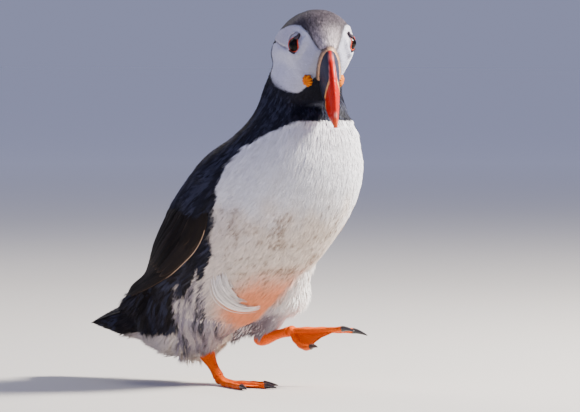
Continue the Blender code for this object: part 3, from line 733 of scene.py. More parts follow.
@dataclass
class Skin:
    """The one surface under all the plumage, inside the solids by the depth of the coat."""

    voxel: float = 1.1
    smoothing: int = 14
    name: str = "skin"

    NODES = (
        "head", "neck", "trunk", "thigh_left", "thigh_right",
        "wing_left", "wing_right", "primaries_left", "primaries_right", "tail",
    )

    def joined(self) -> Piece:
        """Copies of the solids of flesh in one mesh."""
        data = bpy.data.meshes.new(self.name)
        with edited(data) as mesh:
            for node in self.NODES:
                mesh.from_mesh(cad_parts[node].data)
            bmesh.ops.remove_doubles(mesh, verts=mesh.verts, dist=1e-6)
        return linked(self.name, data)

    def depth(self, at: Places) -> Array:
        """How far the skin lies under the solids, in millimetres."""
        depth = eased(np.where(at.up < 66, 2.6, 2.3), 1.5, Markings().dark_back(at))
        depth = eased(depth, 0.5, at.within(forward=(-24, -34), up=(38, 42)))
        depth = eased(depth, 0.5, step(-56.0, -68.0, at.forward))
        depth = eased(depth, 1.0, at.near_head())
        for side in (-1, 1):
            eye = np.array(EYES[side]) + np.array([2.0, 3.0 * side, 0.0])
            depth = eased(depth, 0.55, step(9.0, 5.5, np.linalg.norm(at.head - eye, axis=1)))
        return depth

    def folds(self, at: Places) -> Array:
        """How far the skin's folds go in (positive) or stand out, in millimetres."""
        across = np.abs(Markings().over_crease(at))
        crease = step(1.5, 0.0, across) * at.within(ahead=(8.5, 5, -15, -10))
        groove = 2.0 * crease * at.near_head() * step(10.0, 14.0, at.face_side)
        edge = Markings().over_crown_line(at)
        brow = step(-3.5, -0.8, edge) * step(0.7, -0.2, edge) * at.near_head() * step(-14.0, -8.0, at.ahead)
        brow = 0.5 * brow * step(4.0, 7.0, at.face_side)
        bend = 15.6 + 0.10 * (at.above - 6.0) - 0.035 * (at.above - 8.0) ** 2
        before_eye = step(2.6, 0.0, np.abs(at.ahead - bend)) * at.within(above=(-1, 4, 14, 10.5))
        ridge = 1.7 * before_eye * step(7.0, 10.0, at.face_side) * at.near_head()
        over_eye = np.hypot(at.ahead - 8.5, 0.7 * (at.above - 11.0))
        hollow = step(7.5, 3.0, over_eye) * step(9.0, 12.0, at.face_side)
        between_legs = at.between_legs((11.0, 3.0), (18.0, 12.5))
        hitched = 9.0 * step(1.0, 0.3, between_legs) * step(46.0, 34.0, at.up)
        back = 1.2 * at.within(up=(62, 84, 110, 96), forward=(12, -4))
        back = back + 2.8 * at.within(up=(92, 108, 146, 130), forward=(38, 22))
        vent = np.hypot(at.forward + 20.0, 1.5 * (at.up - 19.0))
        fluff = 3.0 * at.thigh_front() + 2.4 * step(16.0, 6.0, vent)
        by_wing_tip = np.hypot(np.hypot(at.forward + 38.0, at.side - 24.0), at.up - 50.0)
        fluff = fluff + 3.0 * step(11.0, 5.0, by_wing_tip)
        trousers = 2.0 * at.near_leg(STANDING) * step(-8.0, -16.0, at.left)
        return groove - brow - ridge + 0.8 * hollow * at.near_head() + hitched - back - fluff - trousers

    def build(self, finishes: Finishes) -> Piece:
        """The skin, with its colours and normals kept on it for the plumage."""
        made = self.joined()
        modify(made, "Whole", "REMESH", mode="VOXEL", voxel_size=self.voxel * MM)
        modify(made, "Soft", "SMOOTH", factor=0.5, iterations=self.smoothing)
        applied(made)
        self.keep_outer(made)
        at = places_of(made.data)
        moved = at.world - at.out * ((self.depth(at) + self.folds(at)) * MM)[:, None]
        nape = at.within(up=(172, 160, 100, 125)) * (1 - at.near_head())
        move(made.data, self.relaxed(made.data, moved, nape * step(75.0, 60.0, at.forward), 160))
        modify(made, "Soft", "SMOOTH", factor=0.5, iterations=2)
        applied(made).data.shade_smooth()
        at = places_of(made.data)
        paint(made, Markings().colour(at))
        store(made.data, "out", at.out)
        return hand_in(made, Slot.WHITE, *self.NODES, finish=FELT.build(finishes))

    def relaxed(self, mesh: bpy.types.Mesh, points: Array, weight: Array, rounds: int) -> Array:
        """The points, smoothed towards their neighbours as far as each one's weight allows."""
        edges = np.zeros(len(mesh.edges) * 2, dtype=np.int64)
        mesh.edges.foreach_get("vertices", edges)
        first, second = edges.reshape(-1, 2).T

        def sum_round(row: Array) -> Array:
            """The sum of the values of each vertex's neighbours."""
            return np.bincount(first, row[second], len(row)) + np.bincount(second, row[first], len(row))

        count = sum_round(np.ones(len(points)))
        for _ in range(rounds):
            total = np.stack([sum_round(row) for row in points.T], axis=1)
            points = points + (total / count[:, None] - points) * (0.9 * weight)[:, None]
        return points

    def keep_outer(self, made: Piece) -> None:
        """Drops everything that isn't connected with the largest shell."""
        with edited(made.data) as mesh:
            left, shells = set(mesh.verts), []
            while left:
                shell = waiting = {left.pop()}
                while waiting:
                    waiting = {edge.other_vert(near) for near in waiting for edge in near.link_edges} - shell
                    shell = shell | waiting
                left -= shell
                shells.append(shell)
            shells.sort(key=len)
            for shell in shells[:-1]:
                bmesh.ops.delete(mesh, geom=list(shell), context="VERTS")
        LOG.info("skin: %d shells, the largest is kept", len(shells))


# ---------------------------------------------------------------- plumage


def plume_pattern(shape: Shape) -> Piece:
    """The small mesh of one plume: thin ridged strands that spread from one root.

    It runs across in x from -0.5 to 0.5, along y from 0 to 1 and out in z, and keeps its own coordinates.
    """
    count, segments, fan, breadth, seed = shape.value
    draw = np.random.default_rng(seed)
    points: list[Triple] = []
    faces: list[tuple[int, ...]] = []
    for k in range(count):
        place = (k + 0.5) / count - 0.5
        start = place * 0.55 + draw.uniform(-0.05, 0.05)
        sway = place * fan + draw.uniform(-0.12, 0.12)
        reach = draw.uniform(0.74, 1.0)
        lift = draw.uniform(-0.2, 0.3)
        first = len(points)
        for i in range(segments):
            t = i / segments
            half = breadth / 2 * (0.75 + 0.5 * math.sin(math.pi * min(t * 1.4, 1.0))) * (1 - t**2.5)
            x, y = start + sway * t**1.3, reach * t
            points += [(x - half, y, lift * t), (x, y, lift * t + half * 0.9), (x + half, y, lift * t)]
        points.append((start + sway, reach, lift))
        for i in range(segments - 1):
            a = first + 3 * i
            faces += [(a, a + 1, a + 4, a + 3), (a + 1, a + 2, a + 5, a + 4)]
        a = first + 3 * (segments - 1)
        faces += [(a, a + 1, a + 3), (a + 1, a + 2, a + 3)]
    own = np.array(points)
    made = mesh_object(f"pattern_{shape.name.lower()}", own, faces)
    along = np.clip(own[:, 1], 0, 1)
    store(made.data, "along", along)
    store(made.data, "own", np.stack([own[:, 0] + 0.5, along, 0 * along], axis=1))
    return made


class GeometryTree:
    """A geometry node tree with named inputs, run once on a mesh."""

    def __init__(self, name: str, inputs: dict[str, str]) -> None:
        self.tree = bpy.data.node_groups.new(name, "GeometryNodeTree")
        for label, kind in ({"Geometry": "NodeSocketGeometry"} | inputs).items():
            self.tree.interface.new_socket(label, in_out="INPUT", socket_type=kind)
        self.tree.interface.new_socket("Geometry", in_out="OUTPUT", socket_type="NodeSocketGeometry")
        self.wiring = Wiring(self.tree)
        self.source = self.wiring.add("NodeGroupInput").outputs
        self.target = self.wiring.add("NodeGroupOutput")

    def chain(self, kind: str, inputs: dict[str, object], **settings: object) -> Socket:
        """The first output of a node of geometry."""
        return self.wiring.add("GeometryNode" + kind, inputs, **settings).outputs[0]

    def run(self, made: Piece, values: dict[str, object]) -> Piece:
        """Runs the tree on an object with values for its named inputs, and keeps the result as its mesh."""
        modifier = made.modifiers.new(self.tree.name, "NODES")
        modifier.node_group = self.tree
        for item in self.tree.interface.items_tree:
            if item.in_out == "INPUT" and item.name in values:
                modifier[item.identifier] = values[item.name]
        return applied(made)


class ScatterTree(GeometryTree):
    """Spreads roots evenly over the skin, thinner where the attribute "share" falls."""

    def __init__(self) -> None:
        kinds = {"Spacing": "NodeSocketFloat", "Crowding": "NodeSocketFloat", "Seed": "NodeSocketInt"}
        super().__init__("plume_roots", kinds)
        inputs = {
            "Mesh": self.source["Geometry"],
            "Distance Min": self.source["Spacing"],
            "Density Max": self.source["Crowding"],
            "Seed": self.source["Seed"],
            "Density Factor": self.wiring.attribute("share", "FLOAT"),
        }
        points = self.chain("DistributePointsOnFaces", inputs, distribute_method="POISSON")
        self.wiring.feed(self.target, {"Geometry": self.chain("PointsToVertices", {"Points": points})})


class PlumageTree(GeometryTree):
    """Sets a plume on every root, turned to its lie, sized, raised and bent over the skin."""

    PATCH = 0.003

    def __init__(self) -> None:
        super().__init__("plumage", {"Pattern": "NodeSocketObject", "Finish": "NodeSocketMaterial"})
        wiring, source = self.wiring, self.source
        pattern = wiring.add("GeometryNodeObjectInfo", {"Object": source["Pattern"]})
        axes = {"Primary Axis": wiring.attribute("out"), "Secondary Axis": wiring.attribute("lie")}
        turn = wiring.add("FunctionNodeAxesToRotation", axes, primary_axis="Z", secondary_axis="Y")
        inputs = {
            "Points": source["Geometry"],
            "Instance": pattern.outputs["Geometry"],
            "Rotation": turn.outputs["Rotation"],
            "Scale": wiring.attribute("size"),
        }
        real = self.chain("RealizeInstances", {"Geometry": self.chain("InstanceOnPoints", inputs)})
        along = wiring.attribute("along", "FLOAT")
        raised = wiring.vector("SCALE", wiring.attribute("rise"), along)
        bent = wiring.vector("SCALE", wiring.attribute("curl"), wiring.math("POWER", along, 2.0))
        moved = self.chain("SetPosition", {"Geometry": real, "Offset": wiring.vector("ADD", raised, bent)})
        scaled = wiring.vector("MULTIPLY", wiring.attribute("own"), (self.PATCH,) * 3)
        patch = wiring.vector("ADD", wiring.attribute("patch"), scaled)
        inputs = {"Name": "OFBake", "Geometry": moved, "Value": patch}
        layout = self.chain("StoreNamedAttribute", inputs, data_type="FLOAT2", domain="CORNER")
        finish = self.chain("SetMaterial", {"Geometry": layout, "Material": source["Finish"]})
        wiring.feed(self.target, {"Geometry": finish})


@dataclass(frozen=True)
class Growth:
    """How one region of the plumage grows. Sizes are in millimetres."""

    name: str
    slot: Slot
    shape: Shape
    spacing: float
    length: float
    breadth: float
    lift: float
    hug: float  # radius that the plumes bend round
    ruffle: float = 0.10  # how much single plumes stray from the lie, in radians
    seed: int = 1
    mottle: float = 0.07  # how much neighbours differ in brightness


class Coat:
    """Grows one region after another from the skin."""

    REACH = 4.0
    WORN = (0.60, 0.46, 0.34)
    LEG_SHADE = (0.27, 0.235, 0.28)
    DEEP_SHADE = (0.12, 0.09, 0.12)
    STREAK_GREY = (0.20, 0.17, 0.22)
    STREAK_DARK = (0.026, 0.023, 0.030)
    # painted sheen: blue highlight streaks laid into the tint of the black plumage
    PAINTED_SHEEN = (0.056, 0.060, 0.098)

    def __init__(self, skin: Piece, finishes: Finishes) -> None:
        self.skin = skin
        self.finish = PLUMAGE.build(finishes)
        self.dark_finish = DARK_PLUMAGE.build(finishes)
        self.flow = Flow()
        self.markings = Markings()
        self.scatter = ScatterTree()
        self.plumage = PlumageTree()
        self.patterns = {shape: plume_pattern(shape) for shape in Shape}
        self.surface = places_of(skin.data)

    def roots(self, growth: Growth, share: Array) -> Places:
        """Places for the roots of one region, whose share of the skin is given for each of its vertices."""
        base = linked("roots", self.skin.data.copy())
        store(base.data, "share", share)
        spacing = growth.spacing * MM
        self.scatter.run(base, {"Spacing": spacing, "Crowding": 3.0 / spacing**2, "Seed": growth.seed})
        world = read(base.data)
        out = np.zeros(len(world) * 3)
        base.data.attributes["out"].data.foreach_get("vector", out)
        bpy.data.objects.remove(base)
        return Places(world, out.reshape(-1, 3))

    def grow(self, growth: Growth, share: Array) -> Piece:
        """Grows one region. share says, for each vertex of the skin, how densely."""
        at = self.roots(growth, share)
        lie = self.flow.lie(at)
        for shin in SHINS:
            knee, heel = (np.array(body_point(*end)) for end in shin)
            way = unit(heel - knee)
            from_heel = at.world - heel
            close = at.near_leg(shin) * step(26.0 * MM, 14.0 * MM, np.linalg.norm(from_heel, axis=1))
            at.out = unit(mix(at.out, (unit(from_heel - np.outer(from_heel @ way, way)), close)))
            lie = square_to(mix(lie, (way, close)), at.out)
        draw = np.random.default_rng(growth.seed)
        stray = draw.normal(0, growth.ruffle, len(at.world)) + 0.12 * wobble(at.body, 18.0, growth.seed + 40)
        lie = unit(lie * np.cos(stray)[:, None] + np.cross(lie, at.out) * np.sin(stray)[:, None])
        length = growth.length * draw.uniform(0.75, 1.2, len(at.world))
        for shin in SHINS:
            away = np.linalg.norm(at.body - np.array(shin[1]), axis=1)
            length = length * (1 - 0.4 * step(24.0, 10.0, away) * at.near_leg(shin))
        between = at.between_legs((10.0, 3.5), (24.0, 12.0))
        length = length * (1 - 0.6 * step(1.3, 0.7, between) * step(50.0, 38.0, at.up))
        length = length * (1 - 0.45 * step(-36.0, -46.0, at.forward))
        middle = self.markings.colour(self.ahead_of(at, lie, 0.55 * length)).mean(axis=1)
        crossing = np.abs(self.markings.colour(at).mean(axis=1) - middle) > 0.12
        length = np.where(crossing & (at.near_leg(STANDING) < 0.5), 0.5 * length, length)
        loose = draw.uniform(0, 0.7, len(length)) * step(74.0, 64.0, at.up)
        colours = self.tinted(self.ahead_of(at, lie, 0.45 * length * (1 - loose)), growth.mottle, draw)
        return self.plant(growth, at, lie, length, colours, draw)

    def ahead_of(self, at: Places, lie: Array, reach: Array) -> Places:
        """The places that lie some millimetres along the plumes."""
        return Places(at.world + lie * (np.minimum(reach, self.REACH) * MM)[:, None], at.out)

    def tinted(self, at: Places, mottle: float, draw: np.random.Generator) -> tuple[Array, Array]:
        """The tint of each plume, with small differences between neighbours, painted shade round the legs,
        painted sheen in blue streaks on the black plumage, and how brown its tip is.
        """
        count = len(at.world)
        tint = self.markings.colour(at) * np.exp(draw.normal(0, mottle, count))[:, None]
        white = step(0.35, 0.6, tint.mean(axis=1))
        off_front = 1 - at.thigh_front()
        where = at.within(up=(108, 92, 44, 54), forward=(20, 40)) * white * off_front
        cluster = np.clip(wobble(at.body, 16.0, 77) + 0.6 * wobble(at.body, 6.0, 79) - 0.1, 0, 1.4)
        speck = (draw.uniform(0, 1, count) < (0.06 + 0.80 * cluster) * where) * draw.uniform(0.45, 1.0, count)
        right_leg = at.near_leg(STANDING) * at.within(left=(0, -6), up=(15, 24))
        left_leg = at.near_leg(RAISED) * off_front
        shade = np.maximum(right_leg, left_leg * step(22.0, 14.0, at.left)) * white
        in_shade = left_leg * at.within(left=(20, 12), up=(48, 38)) * white
        streak = self.markings.streaks(at, 3.0, 78) + draw.normal(0, 0.30, count)
        flank = at.within(up=(66, 56), forward=(26, 14), left=(-14, -20))
        flank = np.maximum(right_leg, flank) * at.within(forward=(30, 16, -20, -11)) * white
        tint = mix(
            tint,
            (self.WORN, 0.22 * cluster * where),
            (self.LEG_SHADE, 0.6 * shade),
            (self.DEEP_SHADE, 0.75 * in_shade),
            (self.STREAK_GREY, 0.8 * (step(-0.9, 0.2, streak) * flank)),
            (self.STREAK_DARK, 0.9 * (step(0.2, 0.9, streak) * flank)),
        )
        # painted sheen: where the black plumage takes blue highlight streaks
        gloss = step(-0.1, 1.3, self.markings.streaks(at, 2.4, 81) + draw.normal(0, 0.6, count))
        gloss = gloss * step(0.04, 0.02, tint.mean(axis=1)) * (1 - at.near_head())
        return mix(tint, (self.PAINTED_SHEEN, 0.8 * gloss)), speck

    def plant(
        self, growth: Growth, at: Places, lie: Array, length: Array, colours: tuple, draw: np.random.Generator
    ) -> Piece:
        """Sets plumes on the roots and hands the piece in.

        Args:
            growth: the sizes of the region.
            at: the roots.
            lie: the way each plume points.
            length: of each plume, in millimetres.
            colours: the colour of each plume, and how brown its tip is.
            draw: the source of the small differences.

        Returns:
            The finished piece.
        """
        count = len(at.world)
        made = mesh_object(growth.name, at.world, [])
        breadth = growth.breadth * draw.uniform(0.8, 1.2, count)
        lift = growth.lift * draw.uniform(0.55, 1.15, count)
        by_wing_tip = at.within(forward=(-27, -34, -60, -52), side=(8, 14))
        lift = lift + 3.4 * by_wing_tip * at.within(up=(41, 45, 58, 53))
        bend = length**2 / (2 * growth.hug)
        sway = 0.06 * length * draw.normal(0, 1, count)
        flat = self.flow.unwrap(at)
        low, high = flat.min(axis=0), flat.max(axis=0)
        flat = 0.005 + 0.985 * (flat - low) / np.maximum(high - low, 1e-9)
        only_for_growing = {
            "out": at.out,
            "lie": lie,
            "size": np.stack([breadth, length, breadth], axis=1) * MM,
            "rise": at.out * (lift * MM)[:, None],
            "curl": (np.cross(lie, at.out) * sway[:, None] - at.out * bend[:, None]) * MM,
            "patch": np.concatenate([flat, np.zeros((count, 1))], axis=1),
        }
        for name, values in only_for_growing.items():
            store(made.data, name, values)
        paint(made, colours[0])
        store(made.data, "speck", colours[1])
        finish = self.finish if growth.slot is Slot.WHITE else self.dark_finish
        self.plumage.run(made, {"Pattern": self.patterns[growth.shape], "Finish": finish})
        for name in (*only_for_growing, "own"):
            made.data.attributes.remove(made.data.attributes[name])
        made.data.shade_smooth()
        return hand_in(made, growth.slot)

    def clear(self) -> None:
        """Removes the patterns of single plumes."""
        for pattern in self.patterns.values():
            bpy.data.objects.remove(pattern)


# ---------------------------------------------------------------- bill


def bezier(start: Rows, bend: Rows, end: Rows, share: Array) -> Array:
    """Points on a curve from start to end that leans towards bend."""
    t = share[:, None]
    return (1 - t) ** 2 * start + 2 * t * (1 - t) * np.array(bend) + t * t * end


def root_point(share: float) -> Array:
    """A point on the slanting line where bill and feathers meet: share 0 at the chin, 1 at the forehead."""
    return np.array(BILL_CHIN) + (np.array(BILL_TOP) - np.array(BILL_CHIN)) * share


@dataclass
class Bill:
    """The deep, flat-sided bill: both mandibles and the raised rim round the upper one's root."""

    rings: int = 72
    columns: int = 20
    gap: float = 0.3

    RED = (0.46, 0.008, 0.002)
    SLATE = (0.026, 0.028, 0.048)
    YELLOW = (0.80, 0.48, 0.16)
    ORANGE = (0.62, 0.10, 0.02)
    # pink of the painted highlights on the upper mandible
    PAINTED_HIGHLIGHT_PINK = (0.80, 0.42, 0.36)
    CREAM = (0.58, 0.31, 0.16)
    BROWN = (0.20, 0.135, 0.095)
    PIVOT = np.array((24.0, 0.0, 9.0))
    YAW = -8.0
    ROLL = 6.0

    def placed(self, own: Array) -> Array:
        """Places in the model of the bill's points, which are turned a little on the head."""
        turn = turned(self.YAW, "Z", 3) @ turned(self.ROLL, "X", 3)
        return carried((own - self.PIVOT) @ np.array(turn).T + self.PIVOT)

    def solid(self, name: str, low: Array, high: Array, width: Array, ridge: float) -> tuple:
        """A mandible between its cutting edge and its ridge.

        Args:
            name: of the piece.
            low: the cutting edge, a row for each ring (forward, up).
            high: the ridge, a row for each ring.
            width: half the width of each ring.
            ridge: least half width of the rounded ridge.

        Returns:
            The object, and for each vertex the share from root to tip, the share from cutting edge to ridge,
            and the distance from the bill's middle plane.
        """
        up_share = 1 - (1 - np.linspace(0, 1, self.columns)) ** 1.25
        up_share[-1] = 1.0
        swell = np.maximum((1 - np.minimum(up_share, 1) ** 2.4) ** 0.5, 0)
        aside = np.maximum(np.outer(width, swell), ridge * (1 - up_share) ** 0.25)
        aside[:, -1] = 0
        line = low[:, None] + (high - low)[:, None] * up_share[:, None]
        left = np.stack([line[..., 0], aside, line[..., 1]], axis=-1)
        head = np.concatenate([left, (left * (1, -1, 1))[:, -2::-1]], axis=1).reshape(-1, 3)
        count = 2 * self.columns - 1
        made = mesh_object(name, self.placed(head), ring_faces(len(low), count))
        along = np.repeat(np.arange(len(low)) / (len(low) - 1), count)
        upwards = np.tile(np.concatenate([up_share, up_share[-2::-1]]), len(low))
        return outward(made), along, upwards, np.abs(head[:, 1])

    def grooves(self, mesh: bpy.types.Mesh, t: Array, s: Array, lines: tuple, depth: float) -> None:
        """Cuts curved grooves across the sides of a mandible."""
        cut = np.zeros(len(t))
        for start in lines:
            away = np.abs(t - (start + 0.07 * hump(np.clip(s, 0, 1)) - 0.03))
            cut = np.maximum(cut, step(0.022, 0.0, away))
        flat = step(0.0, 0.12, s) * step(1.0, 0.93, s)
        waves = 0.05 * np.sin(t * 130) * step(0.3, 0.5, t)
        move(mesh, read(mesh) - read(mesh, "normal") * ((depth * cut * flat + waves) * MM)[:, None])

    def banded(self, away: Array, off_ridge: Array | float, *tips: tuple[Rows, Array]) -> Array:
        """Red with slate before a border and a pale line along it, then other layers."""
        slate = step(0.012, -0.012, away) * off_ridge
        line = step(0.028, 0.014, np.abs(away - 0.02)) * off_ridge
        return mix(self.RED, (self.SLATE, slate), (self.YELLOW, 0.75 * line), *tips)

    def upper(self) -> Piece:
        """The upper mandible with its hooked tip, and painted highlights on its ridge and near its tip."""
        start = CERE_THICKNESS + 2 * self.gap
        shares = np.linspace(0, 0.985, self.rings)
        root_high = np.array([BILL_TOP[0] + start, BILL_TOP[1] - 1.2])
        root_low = root_point(0.44) + np.array([start, 0])
        high = bezier(root_high, CULMEN_BEND, np.array(BILL_TIP), shares)
        low = bezier(root_low, UPPER_EDGE_BEND, np.array(BILL_TIP) - np.array([0.9, 0.4]), shares)
        width = BILL_HALF_WIDTH * (1 - shares) ** 0.75 + 0.7
        width = width * (1 - step(0.93, 1.0, shares) * 0.5)
        made, t, s, aside = self.solid("bill_upper_horn", low, high, width, 1.2)
        self.grooves(made.data, t, s, (0.46, 0.62, 0.78), 0.38)
        by_ridge = aside - 0.9 - 3.2 * t
        # painted highlight: a pink line along the ridge near the root
        painted_light = step(0.35, 0.0, np.abs(by_ridge)) * step(0.7, 0.9, s) * step(0.5, 0.4, t)
        # painted highlight: a pale pink spot near the tip
        spot = step(0.05, 0.0, np.abs(t - 0.87)) * step(0.8, 0.98, s)
        colour = self.banded(
            t - (0.40 + 0.05 * s - 0.10 * s**6),
            1 - step(0.3, -0.3, by_ridge) * step(0.6, 0.8, s),
            (self.PAINTED_HIGHLIGHT_PINK, 0.35 * painted_light),
            (self.ORANGE, 0.7 * step(0.86, 0.97, t)),
            (self.PAINTED_HIGHLIGHT_PINK, 0.45 * spot),
        )
        paint(made, colour)
        return made

    def lower(self) -> Piece:
        """The lower mandible, closed under the upper one."""
        shares = np.linspace(0, 0.975, self.rings)
        root_high = root_point(0.475) + np.array([self.gap, 0])
        root_low = np.array([BILL_CHIN[0] + self.gap + 0.3, BILL_CHIN[1] + 0.5])
        high = bezier(root_high, LOWER_EDGE_BEND, np.array(LOWER_TIP), shares)
        low = bezier(root_low, GONYS_BEND, np.array(LOWER_TIP) - np.array([0.5, 0.9]), shares)
        width = BILL_HALF_WIDTH * (1 - shares) ** 0.75 + 0.2
        made, t, s, _ = self.solid("bill_lower_horn", high, low, width, 1.0)
        self.grooves(made.data, t, s, (0.62, 0.74, 0.85), 0.34)
        paint(made, self.banded(t - (0.505 - 0.22 * s), 1.0, (self.ORANGE, 0.6 * step(0.82, 0.95, t))))
        return made

    def cere(self) -> Piece:
        """The pale rim, dotted with small warts."""
        low = root_point(0.42)
        share = np.linspace(0, 1, 19)
        forward = self.gap - 0.6 + (CERE_THICKNESS + 1.5) * share
        swell = 1.0 + 0.6 * hump(share)
        highs = np.stack([BILL_TOP[0] + forward, BILL_TOP[1] - 0.9 + swell * 0.6 - 0.9 * share**2], axis=1)
        lows = np.stack([low[0] + forward, np.full(len(share), low[1] - 0.2)], axis=1)
        widths = BILL_HALF_WIDTH + 1.3 * (1 - share) ** 1.2 + 0.75 * swell
        made, t, _, _ = self.solid("cere_rim", lows, highs, widths, 2.4)
        points, normals = read(made.data), read(made.data, "normal")
        warts = 0.16 * np.clip(wobble(points / MM, 2.2, 9), -1, 1.5)
        move(made.data, points + normals * (warts * MM)[:, None])
        colour = mix(self.BROWN, (self.CREAM, step(0.50, 0.95, t)))
        paint(made, np.clip(colour * (1 + 0.18 * wobble(points / MM, 2.6, 10))[:, None], 0, 1))
        return made

    def build(self, finishes: Finishes) -> None:
        """Builds, dresses and hands in the bill."""
        horn = BILL_HORN.build(finishes)
        hand_in(self.upper(), Slot.BILL, "bill_upper", finish=horn)
        hand_in(self.lower(), Slot.BILL, "bill_lower", finish=horn)
        hand_in(self.cere(), Slot.CERE, "cere", finish=BARE_SKIN.build(finishes))


# ---------------------------------------------------------------- eyes and mouth


@dataclass
class Eye:
    """One eye: ball, lids with their red rim, and the horny plates over and under it."""

    side: int
    label: str
    opening: float = 3.8
    facing: Triple = (0.50, 0.84, 0.19)
    columns: int = 40

    SKIRT = (0.0, 0.45, 0.7, 1.0)
    PUPIL = (0.0006, 0.0006, 0.0006)
    IRIS = (0.007, 0.0035, 0.003)
    RIM = (0.62, 0.050, 0.010)
    LID = (0.46, 0.44, 0.50)
    PLATE = (0.045, 0.034, 0.044)
    PLATES = {
        "over": [(2.2, 3.6), (-1.2, 3.7), (1.0, 7.6)],
        "under": [(2.6, -3.8), (2.0, -5.0), (-2.5, -4.7), (-2.8, -3.7)],
    }

    def axes(self) -> tuple[Array, Array, Array, Array]:
        """The ball's centre and the directions out of it, up its face and towards the bill."""
        out = unit(np.array([self.facing[0], self.side * self.facing[1], self.facing[2]]))
        up = square_to(np.array([0.0, 0.0, 1.0]), out)
        front = np.cross(up, out) * self.side
        return np.array(EYES[self.side]), out, up, front if front[0] > 0 else -front

    def dome(self, name: str, angles: Array, radii: Array, squash: Array) -> tuple:
        """A surface of rings round the eye's axis.

        Args:
            name: of the piece.
            angles: of each ring from the axis.
            radii: distance of each ring from the ball's centre.
            squash: how much each ring leans from round to three-cornered.

        Returns:
            The object and the ring number of each vertex.
        """
        centre, out, up, front = self.axes()
        turn = math.tau * np.arange(self.columns) / self.columns
        corner = 0.09 * np.cos(3 * (turn - math.radians(95))) - 0.14 * np.cos(turn) ** 2
        angle = (angles[:, None] * (1 + np.outer(squash, corner)))[..., None]
        across = np.outer(np.cos(turn), front) + np.outer(np.sin(turn), up)
        points = centre + (out * np.cos(angle) + across * np.sin(angle)) * radii[:, None, None]
        made = mesh_object(name, carried(points.reshape(-1, 3)), ring_faces(len(angles), self.columns))
        return made, np.repeat(np.arange(len(angles)), self.columns)

    def ball(self, finishes: Finishes) -> None:
        """The eyeball: a dark brown iris round a black pupil."""
        angles = np.linspace(0.02, math.pi - 0.02, 40)
        radii = (EYE_RADIUS - 0.15) * (1 - 0.35 * step(1.0, 1.5, angles)) + 0.25 * step(0.7, 0.0, angles)
        made, rows = self.dome(f"eyeball_{self.label}", angles, radii, 0 * angles)
        paint(outward(made), mix(self.IRIS, (self.PUPIL, step(0.42, 0.36, angles[rows]))))
        hand_in(made, Slot.EYE, f"eye_{self.label}", finish=WET_EYE.build(finishes))

    def lids(self, flesh: Material) -> None:
        """The lids, with a raised orange-red rim round the opening and a skirt under the feathers."""
        start = math.sqrt(EYE_RADIUS**2 - self.opening**2)
        shares = np.linspace(0, 1, 24)
        reach = np.interp(shares, self.SKIRT, (self.opening, 4.6, 5.6, 7.2))
        height = np.interp(shares, self.SKIRT, (start, 1.55, 1.0, 0.0))
        radii = np.hypot(reach, height) + 0.05 + 0.30 * np.sin(np.clip(shares / 0.19, 0, 1) * math.pi) ** 0.6
        lean = 1 - step(0.2, 0.7, shares)
        made, rows = self.dome(f"lids_{self.label}", np.arctan2(reach, height), radii, lean)
        paint(made, mix(self.RIM, (self.LID, step(0.18, 0.27, shares[rows]))))
        self.open_up(made)
        hand_in(made, Slot.EYE, finish=flesh)

    def open_up(self, made: Piece) -> None:
        """Takes the two end faces off a dome and gives it a wall."""
        centre = Vector(carried(self.axes()[0][None])[0])
        with edited(made.data) as mesh:
            ends = [face for face in mesh.faces if len(face.verts) == self.columns]
            bmesh.ops.delete(mesh, geom=ends, context="FACES_ONLY")
            for face in mesh.faces:
                if face.normal.dot(face.calc_center_median() - centre) < 0:
                    face.normal_flip()
        modify(made, "Wall", "SOLIDIFY", thickness=0.35 * MM, offset=-1.0)
        applied(made).data.shade_smooth()

    def plate(self, name: str, outline: list[tuple[float, float]], rise: float, horn: Material) -> None:
        """A horny plate on the lids: its outline is given towards the bill and up from the eye's middle."""
        centre, out, up, front = self.axes()
        corners = np.array(outline)
        middle = corners.mean(axis=0)
        rings, count = 5, 12 * len(corners)
        place = np.arange(count) / count * len(corners)
        i = place.astype(int)
        first, second = corners[i], corners[(i + 1) % len(corners)]
        rim = first + (second - first) * (place - i)[:, None]
        for _ in range(6):
            rim = (np.roll(rim, 1, 0) + rim * 2 + np.roll(rim, -1, 0)) / 4
        points = []
        shares = [1 - i / rings for i in range(rings)]
        for share, height in [(1.0, -1.0)] + [(share, rise * (1 - share**3)) for share in shares]:
            for spot in middle + (rim - middle) * share:
                depth = math.sqrt(max(EYE_RADIUS**2 - 0.6 * (spot**2).sum(), 4.0)) + height
                points.append(centre + front * spot[0] + up * spot[1] + out * depth)
        made = outward(mesh_object(name, carried(np.array(points)), ring_faces(rings + 1, count)))
        paint(made, self.PLATE)
        hand_in(made, Slot.EYE, finish=horn)

    def build(self, finishes: Finishes, flesh: Material, horn: Material) -> None:
        """Builds and hands in all of it."""
        self.ball(finishes)
        self.lids(flesh)
        for place, outline in self.PLATES.items():
            self.plate(f"plate_{place}_{self.label}", outline, 0.5, horn)


